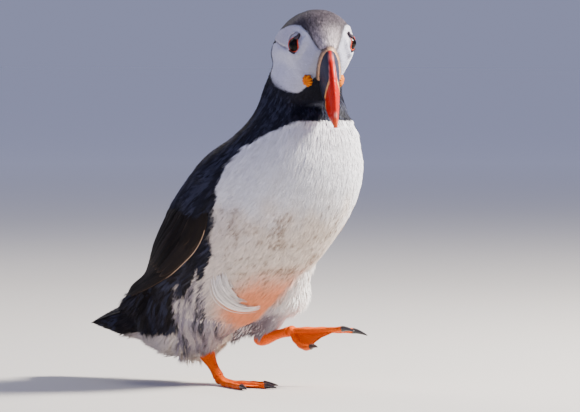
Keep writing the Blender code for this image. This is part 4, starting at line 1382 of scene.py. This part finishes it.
@dataclass
class Gape:
    """The wrinkled yellow fold at one corner of the mouth."""

    side: int
    label: str
    centre: Triple = (20.0, 9.4, -10.3)
    reach: Triple = (3.3, 2.2, 3.4)
    turn: float = 38.0
    rows: int = 28
    columns: int = 60

    # painted light and shade: the crests of the wrinkles take the bright colour, the troughs and the dent the
    # deep one
    BRIGHT = (0.85, 0.27, 0.0)
    DEEP = (0.46, 0.05, 0.0)

    def build(self, flesh: Material) -> None:
        """Builds and hands in the fold."""
        polar = np.repeat(math.pi * (np.arange(self.rows) + 0.5) / self.rows, self.columns)
        turn = np.tile(math.tau * np.arange(self.columns) / self.columns, self.rows)
        wrinkle = 0.10 * np.cos(9 * turn + 1.3 * np.sin(2 * turn)) * np.sin(polar) ** 2
        dent = 0.22 * np.exp(-((polar / 0.42) ** 2))
        forms = (np.sin(polar) * np.cos(turn), self.side * np.cos(polar), np.sin(polar) * np.sin(turn))
        local = np.stack(forms, axis=1) * (1 + wrinkle - dent - 0.04)[:, None] * self.reach
        forward, across, up = self.centre
        head = local @ np.array(turned(-self.side * self.turn, "Z", 3)).T + (forward, self.side * across, up)
        name = f"gape_fold_{self.label}"
        made = outward(mesh_object(name, carried(head), ring_faces(self.rows, self.columns)))
        # painted light and shade: lighter on the crests of the wrinkles, darker in their troughs and in the
        # dent
        painted_light = wrinkle / 0.10 - 2.4 * dent
        paint(made, mix(self.DEEP, (self.BRIGHT, np.clip(0.5 + 0.5 * painted_light, 0, 1))))
        hand_in(made, Slot.GAPE, f"gape_{self.label}", finish=flesh)


# ---------------------------------------------------------------- legs


@dataclass(frozen=True)
class Toe:
    """A toe: its splay towards the midline and how steeply it drops when raised, in degrees."""

    name: str
    splay: float
    length: float
    drop_root: float
    drop_tip: float


TOES = (
    Toe("inner", 28.0, 27.0, 56.0, -14.0),
    Toe("middle", 2.0, 36.5, 4.0, -4.0),
    Toe("outer", -24.0, 36.0, 0.0, 6.0),
)


class Solids:
    """Collects closed forms, each a row of rings of points, in one mesh."""

    def __init__(self) -> None:
        self.points: list[Array] = []
        self.faces: list[tuple[int, ...]] = []
        self.count = 0

    def rings(self, points: Array) -> None:
        """Adds a form from its rings, an array of rings by points by three."""
        self.points.append(points.reshape(-1, 3))
        self.faces += ring_faces(points.shape[0], points.shape[1], self.count)
        self.count += points.shape[0] * points.shape[1]

    def sheet(self, upper: Array, lower: Array) -> None:
        """Adds a thin plate from rows of points on its two sides."""
        self.rings(np.concatenate([upper, lower[:, ::-1]], axis=1))

    def joined(self, name: str) -> Piece:
        """The mesh object."""
        return outward(mesh_object(name, np.concatenate(self.points), self.faces))


class Tubes(Solids):
    """Collects the rings of several swept forms in one mesh."""

    COLUMNS = 20

    def sweep(self, line: Array, radii: Array, flat: float, scutes: float, top: Array) -> None:
        """Adds a tube whose upper side carries broad scutes.

        Args:
            line: its middle line in metres.
            radii: at each point, in metres.
            flat: its height over its width.
            scutes: how many it has; none where this is 0.
            top: the direction that the scutes face.
        """
        ahead = unit(np.gradient(line, axis=0))
        side = unit(np.cross(ahead, top))
        rise = np.cross(side, ahead)
        turns = np.linspace(0, math.tau, self.COLUMNS, endpoint=False)[:, None]
        facing = np.clip(np.sin(turns), 0, 1) ** 0.5
        edge = np.zeros(len(line))
        if scutes:
            edge = np.abs(((np.linspace(0, 1, len(line)) * scutes) % 1.0) - 0.5) * 2
        edge = edge[:, None, None]
        out = 1 + 0.045 * facing * (1 - edge**4) - 0.05 * facing * edge**12
        ring = side[:, None] * np.cos(turns) + rise[:, None] * flat * np.sin(turns)
        self.rings(line[:, None] + ring * (radii[:, None, None] * out))


@dataclass
class Leg:
    """One bare shank and its webbed foot."""

    label: str
    side: int
    ankle: Triple
    foot: Triple
    heading: float
    pitch: float
    standing: bool
    toe_radius: float = 1.9
    knuckle_radius: float = 3.1
    shank_radius: float = 3.0
    sole: float = 1.45
    web: float = 0.45
    claw: float = 7.5

    CLAW = (0.022, 0.018, 0.018)
    CLAW_ROOT = (0.20, 0.10, 0.06)
    SHANK_KNOTS = (0.0, 0.07, 0.16, 0.3, 0.45, 0.6, 0.75, 0.9, 1.0)
    SHANK_SWELL = (-1.0, 1.0, 1.9, 1.9, 1.1, 0.3, 0.0, 0.2, 0.5)

    def __post_init__(self) -> None:
        self.matrix = frame_at(self.foot, self.heading, self.pitch, -self.side)
        self.ahead, _, self.top = (unit(self.matrix[:3, k]) for k in range(3))

    def placed(self, points: Array) -> Array:
        """Places in the model of points in the foot's own coordinates."""
        return carried(points, self.matrix)

    def grounded(self, made: Piece) -> Piece:
        """Keeps a form of the standing foot from reaching into the floor."""
        if self.standing:
            points = read(made.data)
            points[:, 2] = np.maximum(points[:, 2], 0.0)
            move(made.data, points)
        return made

    def toe_line(self, toe: Toe, along: Array) -> Array:
        """Points on a toe's middle line at distances from the root."""
        if self.standing:
            reach = along
            low = -(self.foot[2] - self.sole) * step(0.0, 8.0, along)
        else:
            steps = 16
            reach, low = np.zeros(len(along)), np.zeros(len(along))
            for i in range(steps):
                share = np.minimum((i + 0.5) / steps * along / toe.length, 1.0)
                drop = np.radians(toe.drop_root + (toe.drop_tip - toe.drop_root) * share)
                reach += along / steps * np.cos(drop)
                low -= along / steps * np.sin(drop)
        angle = math.radians(toe.splay)
        return np.stack([reach * math.cos(angle), reach * math.sin(angle), low], axis=1)

    def foot_form(self) -> Piece:
        """Toes, webs and knuckle."""
        tubes = Tubes()
        for toe in TOES:
            along = np.linspace(0, toe.length, 110)
            share = along / toe.length
            knuckle = 0.3 * np.cos(math.tau * 2 * share) ** 2
            radii = (self.toe_radius + knuckle) * (1.0 - 0.22 * share) * (1 - 0.35 * step(0.97, 1.0, share))
            tubes.sweep(self.placed(self.toe_line(toe, along)), radii * MM, 0.95, toe.length / 1.5, self.top)
        for first, second in zip(TOES, TOES[1:]):
            self.add_web(tubes, first, second)
        turns = np.linspace(0.05, math.pi - 0.05, 16)
        line = self.matrix[:3, 3] + np.outer(-np.cos(turns) * self.knuckle_radius * MM, self.ahead)
        tubes.sweep(line, self.knuckle_radius * np.sin(turns) * MM, 0.95, 0.0, self.top)
        return self.grounded(tubes.joined(f"webbed_foot_{self.label}"))

    def add_web(self, tubes: Tubes, first: Toe, second: Toe) -> None:
        """The skin between two toes, slack and finely folded, its free edge curved in."""
        rows, columns = 40, 22
        across = np.linspace(0, 1, columns)
        arch = hump(across)
        middle = np.zeros((rows, columns, 3))
        for i in range(rows):
            share = 0.02 + 0.92 * (i / (rows - 1)) * (1.0 - 0.22 * arch)
            start, end = (self.toe_line(toe, toe.length * share) for toe in (first, second))
            middle[i] = start + (end - start) * across[:, None]
            folds = 0.16 * hump(across * 7) * arch * min(i / 8, 1)
            middle[i, :, 2] += folds - 0.35 * arch * (not self.standing)
        tubes.sheet(*(self.placed(middle + np.array([0, 0, half])) for half in (self.web, -self.web)))

    def shank_form(self) -> Piece:
        """The bare shank, thicker at the heel and at the root of the toes."""
        heel, toe = np.array(body_point(*self.ankle)), np.array(body_point(*self.foot))
        length = np.linalg.norm(toe - heel) - 2.0 * MM
        back = 3.4 * MM
        shares = np.linspace(0, 1, 90)
        swell = softened(np.interp(shares, self.SHANK_KNOTS, self.SHANK_SWELL), 4)
        line = heel + np.outer(shares * (length + back) - back, unit(toe - heel))
        tubes = Tubes()
        forward = unit(np.array([0.0, -1.0, 0.2]))
        tubes.sweep(line, (self.shank_radius + swell) * MM, 0.85, 17.0, forward)
        return tubes.joined(f"shank_{self.label}")

    def claw_form(self, toe: Toe) -> Piece:
        """A curved, ridged claw."""
        share = np.linspace(0, 1, 24)
        base = self.toe_line(toe, toe.length - 0.6 + 0.9 * share + self.claw * share)
        lift, sag = (0.35, 0.9) if self.standing else (0.0, 2.2)
        base[:, 2] += lift - sag * share**1.8
        radii = 1.35 * (1 - share) ** 0.8 + 0.18
        tubes = Tubes()
        tubes.sweep(self.placed(base), radii * MM, 1.1, 0.0, self.top)
        made = self.grounded(tubes.joined(f"claw_horn_{self.label}_{toe.name}"))
        paint(made, mix(self.CLAW, (self.CLAW_ROOT, 0.6 * np.repeat(step(0.14, 0.0, share), Tubes.COLUMNS))))
        return made

    def build(self, scaly: Material, horn: Material) -> None:
        """Builds and hands in shank, foot and claws."""
        hand_in(self.shank_form(), Slot.LEG, f"tarsus_{self.label}", finish=scaly)
        hand_in(self.foot_form(), Slot.LEG, f"foot_{self.label}", finish=scaly)
        for toe in TOES:
            hand_in(self.claw_form(toe), Slot.CLAW, f"claw_{self.label}_{toe.name}", finish=horn)


# ---------------------------------------------------------------- long feathers


class Drape:
    """Lays lines that are given in side view, as (forward, up), over the skin."""

    def __init__(self, skin: Piece) -> None:
        mesh = bmesh.new()
        mesh.from_mesh(skin.data)
        self.tree = BVHTree.FromBMesh(mesh)
        mesh.free()

    def laid(self, side: int, line: Array) -> tuple[Array, Array]:
        """Places on the skin of one side and the directions out of it, for rows of (forward, up)."""
        hits = []
        for forward, up in line:
            hit = self.tree.ray_cast(body_point(forward, side * 90.0, up), Vector((-side, 0, 0)))
            if hit[0] is None:
                hit = self.tree.find_nearest(body_point(forward, side * 16.0, up))
            hits.append(hit[:2])
        places, outs = np.array(hits).transpose(1, 0, 2)
        return softened(places, 6, 2), unit(softened(outs, 6))


def along_knots(knots: tuple, share: Array) -> Array:
    """Points on a soft line through knots, at shares of its length."""
    corners = np.array(knots)
    steps = np.concatenate([[0.0], np.cumsum(np.linalg.norm(np.diff(corners, axis=0), axis=1))])
    fine = np.linspace(0, 1, 120)
    rough = np.stack([np.interp(fine, steps / steps[-1], column) for column in corners.T], axis=1)
    line = softened(rough, 60)
    return np.stack([np.interp(share, fine, column) for column in line.T], axis=1)


class LongFeathers(Solids):
    """Blades laid over the skin, each curved and tapered, with a shaft where it is broad enough."""

    LOWER_EDGE = (
        (31.0, 104.0), (30.0, 96.0), (28.0, 90.0), (23.7, 83.6),
        (14.9, 74.8), (-0.4, 64.0), (-24.2, 54.8), (-58.5, 45.8),
    )
    BACK_EDGE = (
        (12.0, 128.0), (0.0, 116.0), (-12.0, 103.0), (-23.0, 88.0),
        (-33.0, 75.0), (-43.0, 63.0), (-59.0, 46.6),
    )
    TAIL = np.array((
        (-44.0, 36.0, 17.0, 15.0), (-55.0, 36.0, 19.0, 13.6), (-67.0, 35.8, 19.5, 9.6),
        (-79.0, 34.9, 18.0, 4.9), (-87.0, 33.8, 14.0, 2.4), (-93.5, 33.0, 7.0, 0.9),
    ))
    CURL_OUTER = (
        (24.7, 67.0), (23.4, 59.0), (22.8, 53.0), (24.4, 48.4),
        (26.8, 45.0), (30.0, 43.6), (33.0, 45.0), (35.2, 47.4),
    )
    CURL_INNER = (
        (32.6, 68.0), (32.6, 63.0), (32.8, 59.0), (34.0, 56.4), (35.0, 54.2), (36.0, 52.2), (36.8, 50.8),
    )
    EDGE_LINE = (0.42, 0.28, 0.18)
    TAIL_RIM = (0.024, 0.018, 0.017)

    def __init__(self, drape: Drape, rows: int = 26, half_columns: int = 4) -> None:
        super().__init__()
        self.drape = drape
        self.t = np.linspace(0, 1, rows)
        self.s = np.linspace(-1, 1, 2 * half_columns + 1)
        self.tint: list[Array] = []

    def blade(self, line: Array, lift: Array, half: Array, tint: Rows, rim: Rows) -> None:
        """Adds one blade.

        Args:
            line: its shaft, in metres.
            lift: the direction that its upper side faces, at each point of the shaft.
            half: half its breadth at each point, in metres.
            tint: its colour.
            rim: the colour of its edges.
        """
        span = unit(np.cross(np.gradient(line, axis=0), lift))
        lift = unit(np.cross(span, np.gradient(line, axis=0)))
        shaft = np.exp(-((self.s * 8) ** 2)) * 0.30 * MM * (half.max() > 1.0 * MM)
        thick = np.minimum(0.14 * MM, half.max() * 0.4)
        lift, span = lift[:, None], span[:, None]
        cup = np.outer(half, 1 - self.s**2)[..., None] * 0.2 + shaft[:, None]
        middle = line[:, None] + np.outer(half, self.s)[..., None] * span + cup * lift
        self.sheet(middle + lift * thick, middle - lift * thick)
        edge = np.abs(np.concatenate([self.s, self.s[::-1]]))
        by_edge = np.outer(step(0.1, 0.5, self.t), step(0.7, 1.0, edge))
        by_tip = np.outer(step(0.93, 1.0, self.t), np.ones(len(edge)))
        self.tint.append(mix(tint, (rim, np.maximum(by_edge, by_tip).ravel())))

    def laid_blade(
        self, side: int, line: Array, height: Array, half: Array, tint: Rows, rim: Rows
    ) -> None:
        """Adds a blade along a side-view line, at a height over the skin in millimetres."""
        place, out = self.drape.laid(side, line)
        self.blade(place + out * (height * MM)[:, None], out, half * MM, tint, rim)

    def outline(self, breadth: float, sharp: float) -> Array:
        """Half breadths of a vane along its length, narrow at its root and rounded at its tip."""
        return breadth * (0.7 + 0.3 * hump(self.t)) * np.sqrt(np.clip(1 - self.t**sharp, 0.006, 1))

    def wing(self, side: int) -> Self:
        """The flight feathers of one side and the coverts over their roots.

        Every feather follows a line between the lower edge of the folded wing and the back. The outermost
        lie lowest and reach the tip, and the inner ones end earlier on top of them.
        """
        draw = np.random.default_rng(30 + side)
        tiers = (
            (14, 0.14, 1.0, 0.27, 0.9, 0.5, 2.9, 6.0, 0.8),
            (11, 0.02, 0.50, -0.13, 1.7, 0.6, 3.2, 5.0, 0.65),
            (9, 0.0, 0.27, -0.24, 2.1, 0.95, 4.2, 3.0, 0.45),
        )
        for count, start, reach, loss, base, fall, breadth, sharp, light in tiers:
            for k in range(count):
                q = 0.07 + 0.93 * (k + 0.2) / count + draw.uniform(-0.01, 0.01)
                end = reach - loss * q + draw.uniform(-0.008, 0.008)
                share = np.linspace(start + 0.30 * q, end, len(self.t))
                low, high = along_knots(self.LOWER_EDGE, share), along_knots(self.BACK_EDGE, share)
                room = np.linalg.norm(high - low, axis=1) / count
                half = np.minimum(self.outline(breadth, sharp), 0.75 * room + 0.9)
                height = base * (1 - fall * q) * step(-0.05, 0.4, self.t) - 0.6 * step(0.3, 0.0, self.t)
                tint = np.array((0.016, 0.012, 0.011)) * (light * draw.uniform(0.5, 1.6))
                rim = np.array((0.075, 0.050, 0.036)) * light
                self.laid_blade(side, low + (high - low) * q, height, half, tint, rim)
        line = along_knots(self.LOWER_EDGE, np.linspace(0.11, 0.48, len(self.t)))
        over = np.full(len(self.t), 3.3)
        self.laid_blade(side, line, over, self.outline(0.24, 6.0), self.EDGE_LINE, self.EDGE_LINE)
        return self

    def curl(self, side: int) -> Self:
        """The sweep of long white plumes that curls forward under the flank."""
        draw = np.random.default_rng(50)
        locks, strands = 11, 21
        t = self.t
        for number in range(locks * strands):
            lock = number // strands
            middle = (lock + 0.5) / locks
            end = 0.97 - 0.40 * middle + 0.08 * math.sin(2.4 * lock)
            begin = draw.uniform(-0.02, 0.5)
            share = begin + (end + draw.uniform(-0.10, 0.03) - begin) * t
            line = along_knots(self.CURL_OUTER, np.clip(share, 0, 1))
            drift = middle + draw.normal(0, 0.085) * (1 - 0.6 * t**2) + 0.08 * math.sin(1.3 * lock) * t**2
            line = line + (along_knots(self.CURL_INNER, share) - line) * drift[:, None]
            height = (0.9 + 0.8 * (lock % 2) + draw.uniform(-0.4, 1.3)) * np.sin(0.25 + 2.2 * t)
            bright = (0.90 + 0.10 * math.sin(1.9 * lock)) * draw.uniform(0.74, 1.06)
            tint = bright * np.array((1.0, 0.94, 0.90))
            half = self.outline(draw.uniform(0.12, 0.22), 1.6)
            self.laid_blade(side, line, height - 1.2 * step(0.22, 0.0, t), half, tint, tint)
        return self

    def tail(self) -> Self:
        """The fan of the tail."""
        stops = np.arange(len(self.TAIL))
        draw = np.random.default_rng(70)
        for place in np.linspace(-1, 1, 13):
            share = np.linspace(0.30, 1.0 - 0.10 * place**2, len(self.t)) * stops[-1]
            forward, middle, breadth, height = (np.interp(share, stops, column) for column in self.TAIL.T)
            across = place * breadth * 0.80
            top = height * np.sqrt(np.clip(1 - (0.80 * place) ** 2, 0.1, 1)) - 0.10 * np.abs(across)
            up = middle + top - 0.5 - 0.5 * abs(place)
            line = np.stack([across + MIDDLE_LEFT, MIDDLE_FORWARD - forward, up], axis=1) * MM
            lift = np.tile(unit(np.array([0.25 * place, 0.0, 1.0])), (len(line), 1))
            tint = np.array((0.012, 0.010, 0.011)) * draw.uniform(0.8, 1.2)
            self.blade(line, lift, self.outline(3.4, 5.0) * MM, tint, self.TAIL_RIM)
        return self

    def build(self, name: str, finish: Material, slot: Slot) -> None:
        """Joins the blades into one piece, lays them out side by side, and hands the piece in."""
        made = self.joined(name)
        paint(made, np.concatenate(self.tint))
        count = len(self.tint)
        store(made.data, "along", np.tile(np.repeat(self.t, 2 * len(self.s)), count) * 0.5 + 0.5)
        rows, columns = np.meshgrid(self.t, np.concatenate([self.s, self.s[::-1]]), indexing="ij")
        strip = np.stack([columns.ravel() * (0.42 / count), 0.02 + 0.96 * rows.ravel()], axis=1)
        per_vertex = np.concatenate([strip + ((k + 0.5) / count, 0.0) for k in range(count)])
        corners = np.zeros(len(made.data.loops), dtype=np.int32)
        made.data.loops.foreach_get("vertex_index", corners)
        layer = made.data.uv_layers.new(name="OFBake")
        layer.data.foreach_set("uv", per_vertex[corners].astype(np.float32).ravel())
        hand_in(made, slot, finish=finish)


# ---------------------------------------------------------------- stage


@dataclass
class Stage:
    """Floor, lights and camera."""

    camera_turn: float = -50.0
    camera_rise: float = 2.0
    distance: float = 2.6
    breadth: float = 0.3306
    target: Triple = (0.0217, -0.0250, 0.1026)
    reach: float = 30.0

    # the floor's colour near the bird, and far off, where it is painted lighter to make up for the lamps'
    # falloff
    FLOOR_NEAR = (0.58, 0.56, 0.53, 1.0)
    FLOOR_FAR = (1.0, 1.0, 1.0, 1.0)
    ROOM = (0.60, 0.64, 1.0, 1.0)
    ROOM_STRENGTH = 0.44
    MIDDLE = 0.11

    def back(self) -> Vector:
        """The direction from the bird to the camera."""
        turn, rise = math.radians(self.camera_turn), math.radians(self.camera_rise)
        return Vector((math.sin(turn) * math.cos(rise), -math.cos(turn) * math.cos(rise), math.sin(rise)))

    def aimed(self, made: bpy.types.Object, place: Vector, back: Vector) -> None:
        """Puts a camera or lamp in its place, its back turned in a direction."""
        made.location = place
        made.rotation_euler = back.to_track_quat("Z", "Y").to_euler()

    def camera(self) -> None:
        """The camera at the height of the bird's breast."""
        data = bpy.data.cameras.new("camera")
        data.sensor_width = 36.0
        data.lens = data.sensor_width * self.distance / self.breadth
        data.clip_end = 100.0
        made = linked("camera", data)
        self.aimed(made, Vector(self.target) + self.back() * self.distance, self.back())
        bpy.context.scene.camera = made

    def floor(self) -> None:
        """A pale floor that reaches far back, darker near the bird and painted lighter with distance, where
        the lamps' light falls off.
        """
        corners = np.array([[-1, -1, 0], [1, -1, 0], [1, 1, 0], [-1, 1, 0]]) * self.reach
        made = mesh_object("floor", corners, [(0, 1, 2, 3)])
        material, wiring = new_material("floor_paper")
        away = wiring.add("ShaderNodeVectorMath", {0: wiring.place()}, operation="LENGTH")
        # painted light: the floor grows lighter with distance, making up for the lamps' falloff far back
        share = wiring.ramp(away.outputs["Value"], 5.0, -0.3, 1.0)
        colour = wiring.blend(share, self.FLOOR_NEAR, self.FLOOR_FAR)
        surfaced(material, {"Base Color": colour, "Roughness": 0.9})
        dressed(made, material)

    def lamp(self, name: str, place: Triple, size: float, power: float, colour: Colour) -> None:
        """An area light placed as seen from the camera: to its right, up and towards it."""
        right, up, near = place
        middle = Vector((0, 0, self.MIDDLE))
        across = Vector((0, 0, 1)).cross(self.back()).normalized()
        data = bpy.data.lights.new(name, "AREA")
        data.energy = power
        data.size = size
        data.color = colour
        spot = middle + across * right + Vector((0, 0, up)) + self.back() * near
        self.aimed(linked(name, data), spot, spot - middle)

    def lights(self) -> None:
        """A warm key from the right, a cool broad fill from the left, and a pale room."""
        self.lamp("key", (1.25, 0.95, 0.10), 0.35, 122.0, (1.0, 0.94, 0.86))
        self.lamp("fill", (-1.1, 0.6, 1.1), 1.4, 7.0, (0.40, 0.47, 1.0))
        self.lamp("rim", (-0.7, 1.1, -1.1), 0.6, 9.0, (1.0, 0.92, 0.82))
        world = bpy.data.worlds.new("room")
        world.use_nodes = True
        sky = world.node_tree.nodes["Background"]
        Wiring(world.node_tree).feed(sky, {"Color": self.ROOM, "Strength": self.ROOM_STRENGTH})
        bpy.context.scene.world = world

    def build(self) -> None:
        """Sets up all of it."""
        self.camera()
        self.floor()
        self.lights()


# ---------------------------------------------------------------- the bird


class Plumage:
    """All regions of the coat, from head to tail."""

    WING_SIDE = ((-60.0, -32.0, -14.0, 4.0), (6.0, 18.0, 25.0, 27.0))
    BILL_ROOT_SLOPE = 0.2745

    def __init__(self, skin: Piece, finishes: Finishes) -> None:
        self.stiff = STIFF_VANES.build(finishes)
        self.coat = Coat(skin, finishes)
        self.drape = Drape(skin)

    def clear_of_horn(self, at: Places) -> Array:
        """0 where the bill, the eyes and the folds of the mouth leave no room for feathers."""
        clear = np.ones(len(at.world))
        for side in (-1, 1):
            eye, fold = np.array(EYES[side]) + np.array([1.3, 0.0, -0.2]), np.array([20.0, side * 9.8, -9.5])
            for place, start, end in ((eye, 5.2, 5.8), (fold, 3.0, 3.6)):
                clear = clear * step(start, end, np.linalg.norm(at.head - place, axis=1))
        line = at.ahead - (BILL_CHIN[0] + (at.above - BILL_CHIN[1]) * self.BILL_ROOT_SLOPE)
        return clear * np.where((line > -0.8) & (at.near_head() > 0.5), 0.0, 1.0)

    def under_vanes(self, at: Places) -> Array:
        """1 where the long feathers of the wing hide the skin."""
        edges = (LongFeathers.LOWER_EDGE, LongFeathers.BACK_EDGE)
        low, high = (np.interp(at.forward, *np.array(edge)[::-1].T) for edge in edges)
        wing_side = np.interp(at.forward, *self.WING_SIDE)
        within = step(0.0, 1.5, at.up - low) * step(0.0, 2.0, high - at.up) * step(100.0, 95.0, at.up)
        return within * step(-1.0, 1.0, at.side - wing_side)

    def regions(self) -> tuple[tuple[Growth, Array], ...]:
        """How each region grows, and its share of the skin."""
        at, marks = self.coat.surface, self.coat.markings
        off_head = 1 - at.near_head()
        head = at.near_head() * self.clear_of_horn(at)
        face = marks.face(at)
        dark = marks.dark_back(at) * off_head
        white = (1 - marks.dark_back(at)) * off_head
        legs = np.maximum(*(at.near_leg(shin) for shin in SHINS))
        lower = step(152.0, 140.0, at.up)
        low_flank = step(66.0, 60.0, at.up)
        tail = step(-58.0, -66.0, at.forward)
        tail_end = step(-74.0, -78.0, at.forward)
        bare = self.under_vanes(at)
        back = dark * lower * (1 - low_flank) * (1 - tail) * (1 - bare)
        flank = dark * low_flank * (1 - tail) * (1 - bare)
        raised = at.thigh_front()
        thigh = legs * (1 - dark) * (1 - raised)
        under = white * (1 - thigh)
        high = step(98.0, 104.0, at.up)
        front = step(-8.0, -2.0, at.forward)
        black, snow, grey = Slot.BLACK, Slot.WHITE, Slot.GREY
        down, tuft, plume = Shape.DOWN, Shape.TUFT, Shape.PLUME
        return (
            (Growth("coat_face", snow, down, 0.72, 2.2, 0.8, 0.4, 22.0, 0.10, 2, 0.03), face * head),
            (Growth("coat_crown", grey, down, 0.72, 2.6, 0.8, 0.45, 22.0, 0.10, 3, 0.30), (1 - face) * head),
            (Growth("coat_neck", black, tuft, 1.2, 5.0, 1.4, 0.7, 30.0, 0.10, 4, 0.25), dark * (1 - lower)),
            (Growth("coat_breast", snow, tuft, 1.1, 6.5, 1.4, 0.8, 46.0, seed=5), under * high),
            (Growth("coat_belly", snow, tuft, 1.15, 7.5, 1.5, 1.0, 46.0, seed=6), under * (1 - high) * front),
            (Growth("coat_vent", snow, plume, 1.4, 10.0, 1.7, 3.2, 90.0, 0.22, 7), under * (1 - front)),
            (Growth("coat_back", black, tuft, 1.35, 10.0, 1.9, 1.2, 40.0, 0.14, 8, 0.35), back),
            (Growth("coat_flank", black, plume, 1.5, 14.0, 1.9, 1.6, 44.0, 0.16, 9, 0.35), flank),
            (Growth("coat_thigh", snow, plume, 1.25, 11.0, 1.6, 1.5, 30.0, 0.18, 10, 0.12), thigh),
            (Growth("coat_thigh_front", snow, tuft, 1.1, 7.0, 1.7, 2.6, 60.0, 0.26, 12), raised * white),
            (Growth("coat_rump", black, tuft, 1.4, 9.0, 2.0, 0.6, 60.0, seed=11), tail * (1 - tail_end)),
        )

    def build(self) -> None:
        """Grows every region, then lays the long feathers over them."""
        for growth, share in self.regions():
            self.coat.grow(growth, share)
        for side, label in SIDES:
            LongFeathers(self.drape).wing(side).build(f"flight_feathers_{label}", self.stiff, Slot.FLIGHT)
        LongFeathers(self.drape).tail().build("tail_feathers", self.stiff, Slot.BLACK)
        LongFeathers(self.drape, 18, 1).curl(-1).build("flank_curl", self.coat.finish, Slot.WHITE)
        self.coat.clear()


def main() -> None:
    """Builds the pieces in order."""
    logging.basicConfig(level=logging.INFO, format="%(message)s")
    Stage().build()
    finishes = Finishes()
    Plumage(Skin().build(finishes), finishes).build()
    Bill().build(finishes)
    flesh, folded, horn = (finish.build(finishes) for finish in (BARE_SKIN, FOLD_SKIN, PLATE_HORN))
    for side, label in SIDES:
        Eye(side, label).build(finishes, flesh, horn)
        Gape(side, label).build(folded)
    scaly, claws = LegFinish().build(finishes), CLAW_HORN.build(finishes)
    Leg("right", -1, ANKLE_STANDING, FOOT_STANDING, -5.0, 0.0, True).build(scaly, claws)
    Leg("left", 1, ANKLE_RAISED, FOOT_RAISED, 5.0, -4.0, False).build(scaly, claws)


if __name__ == "__main__":
    main()
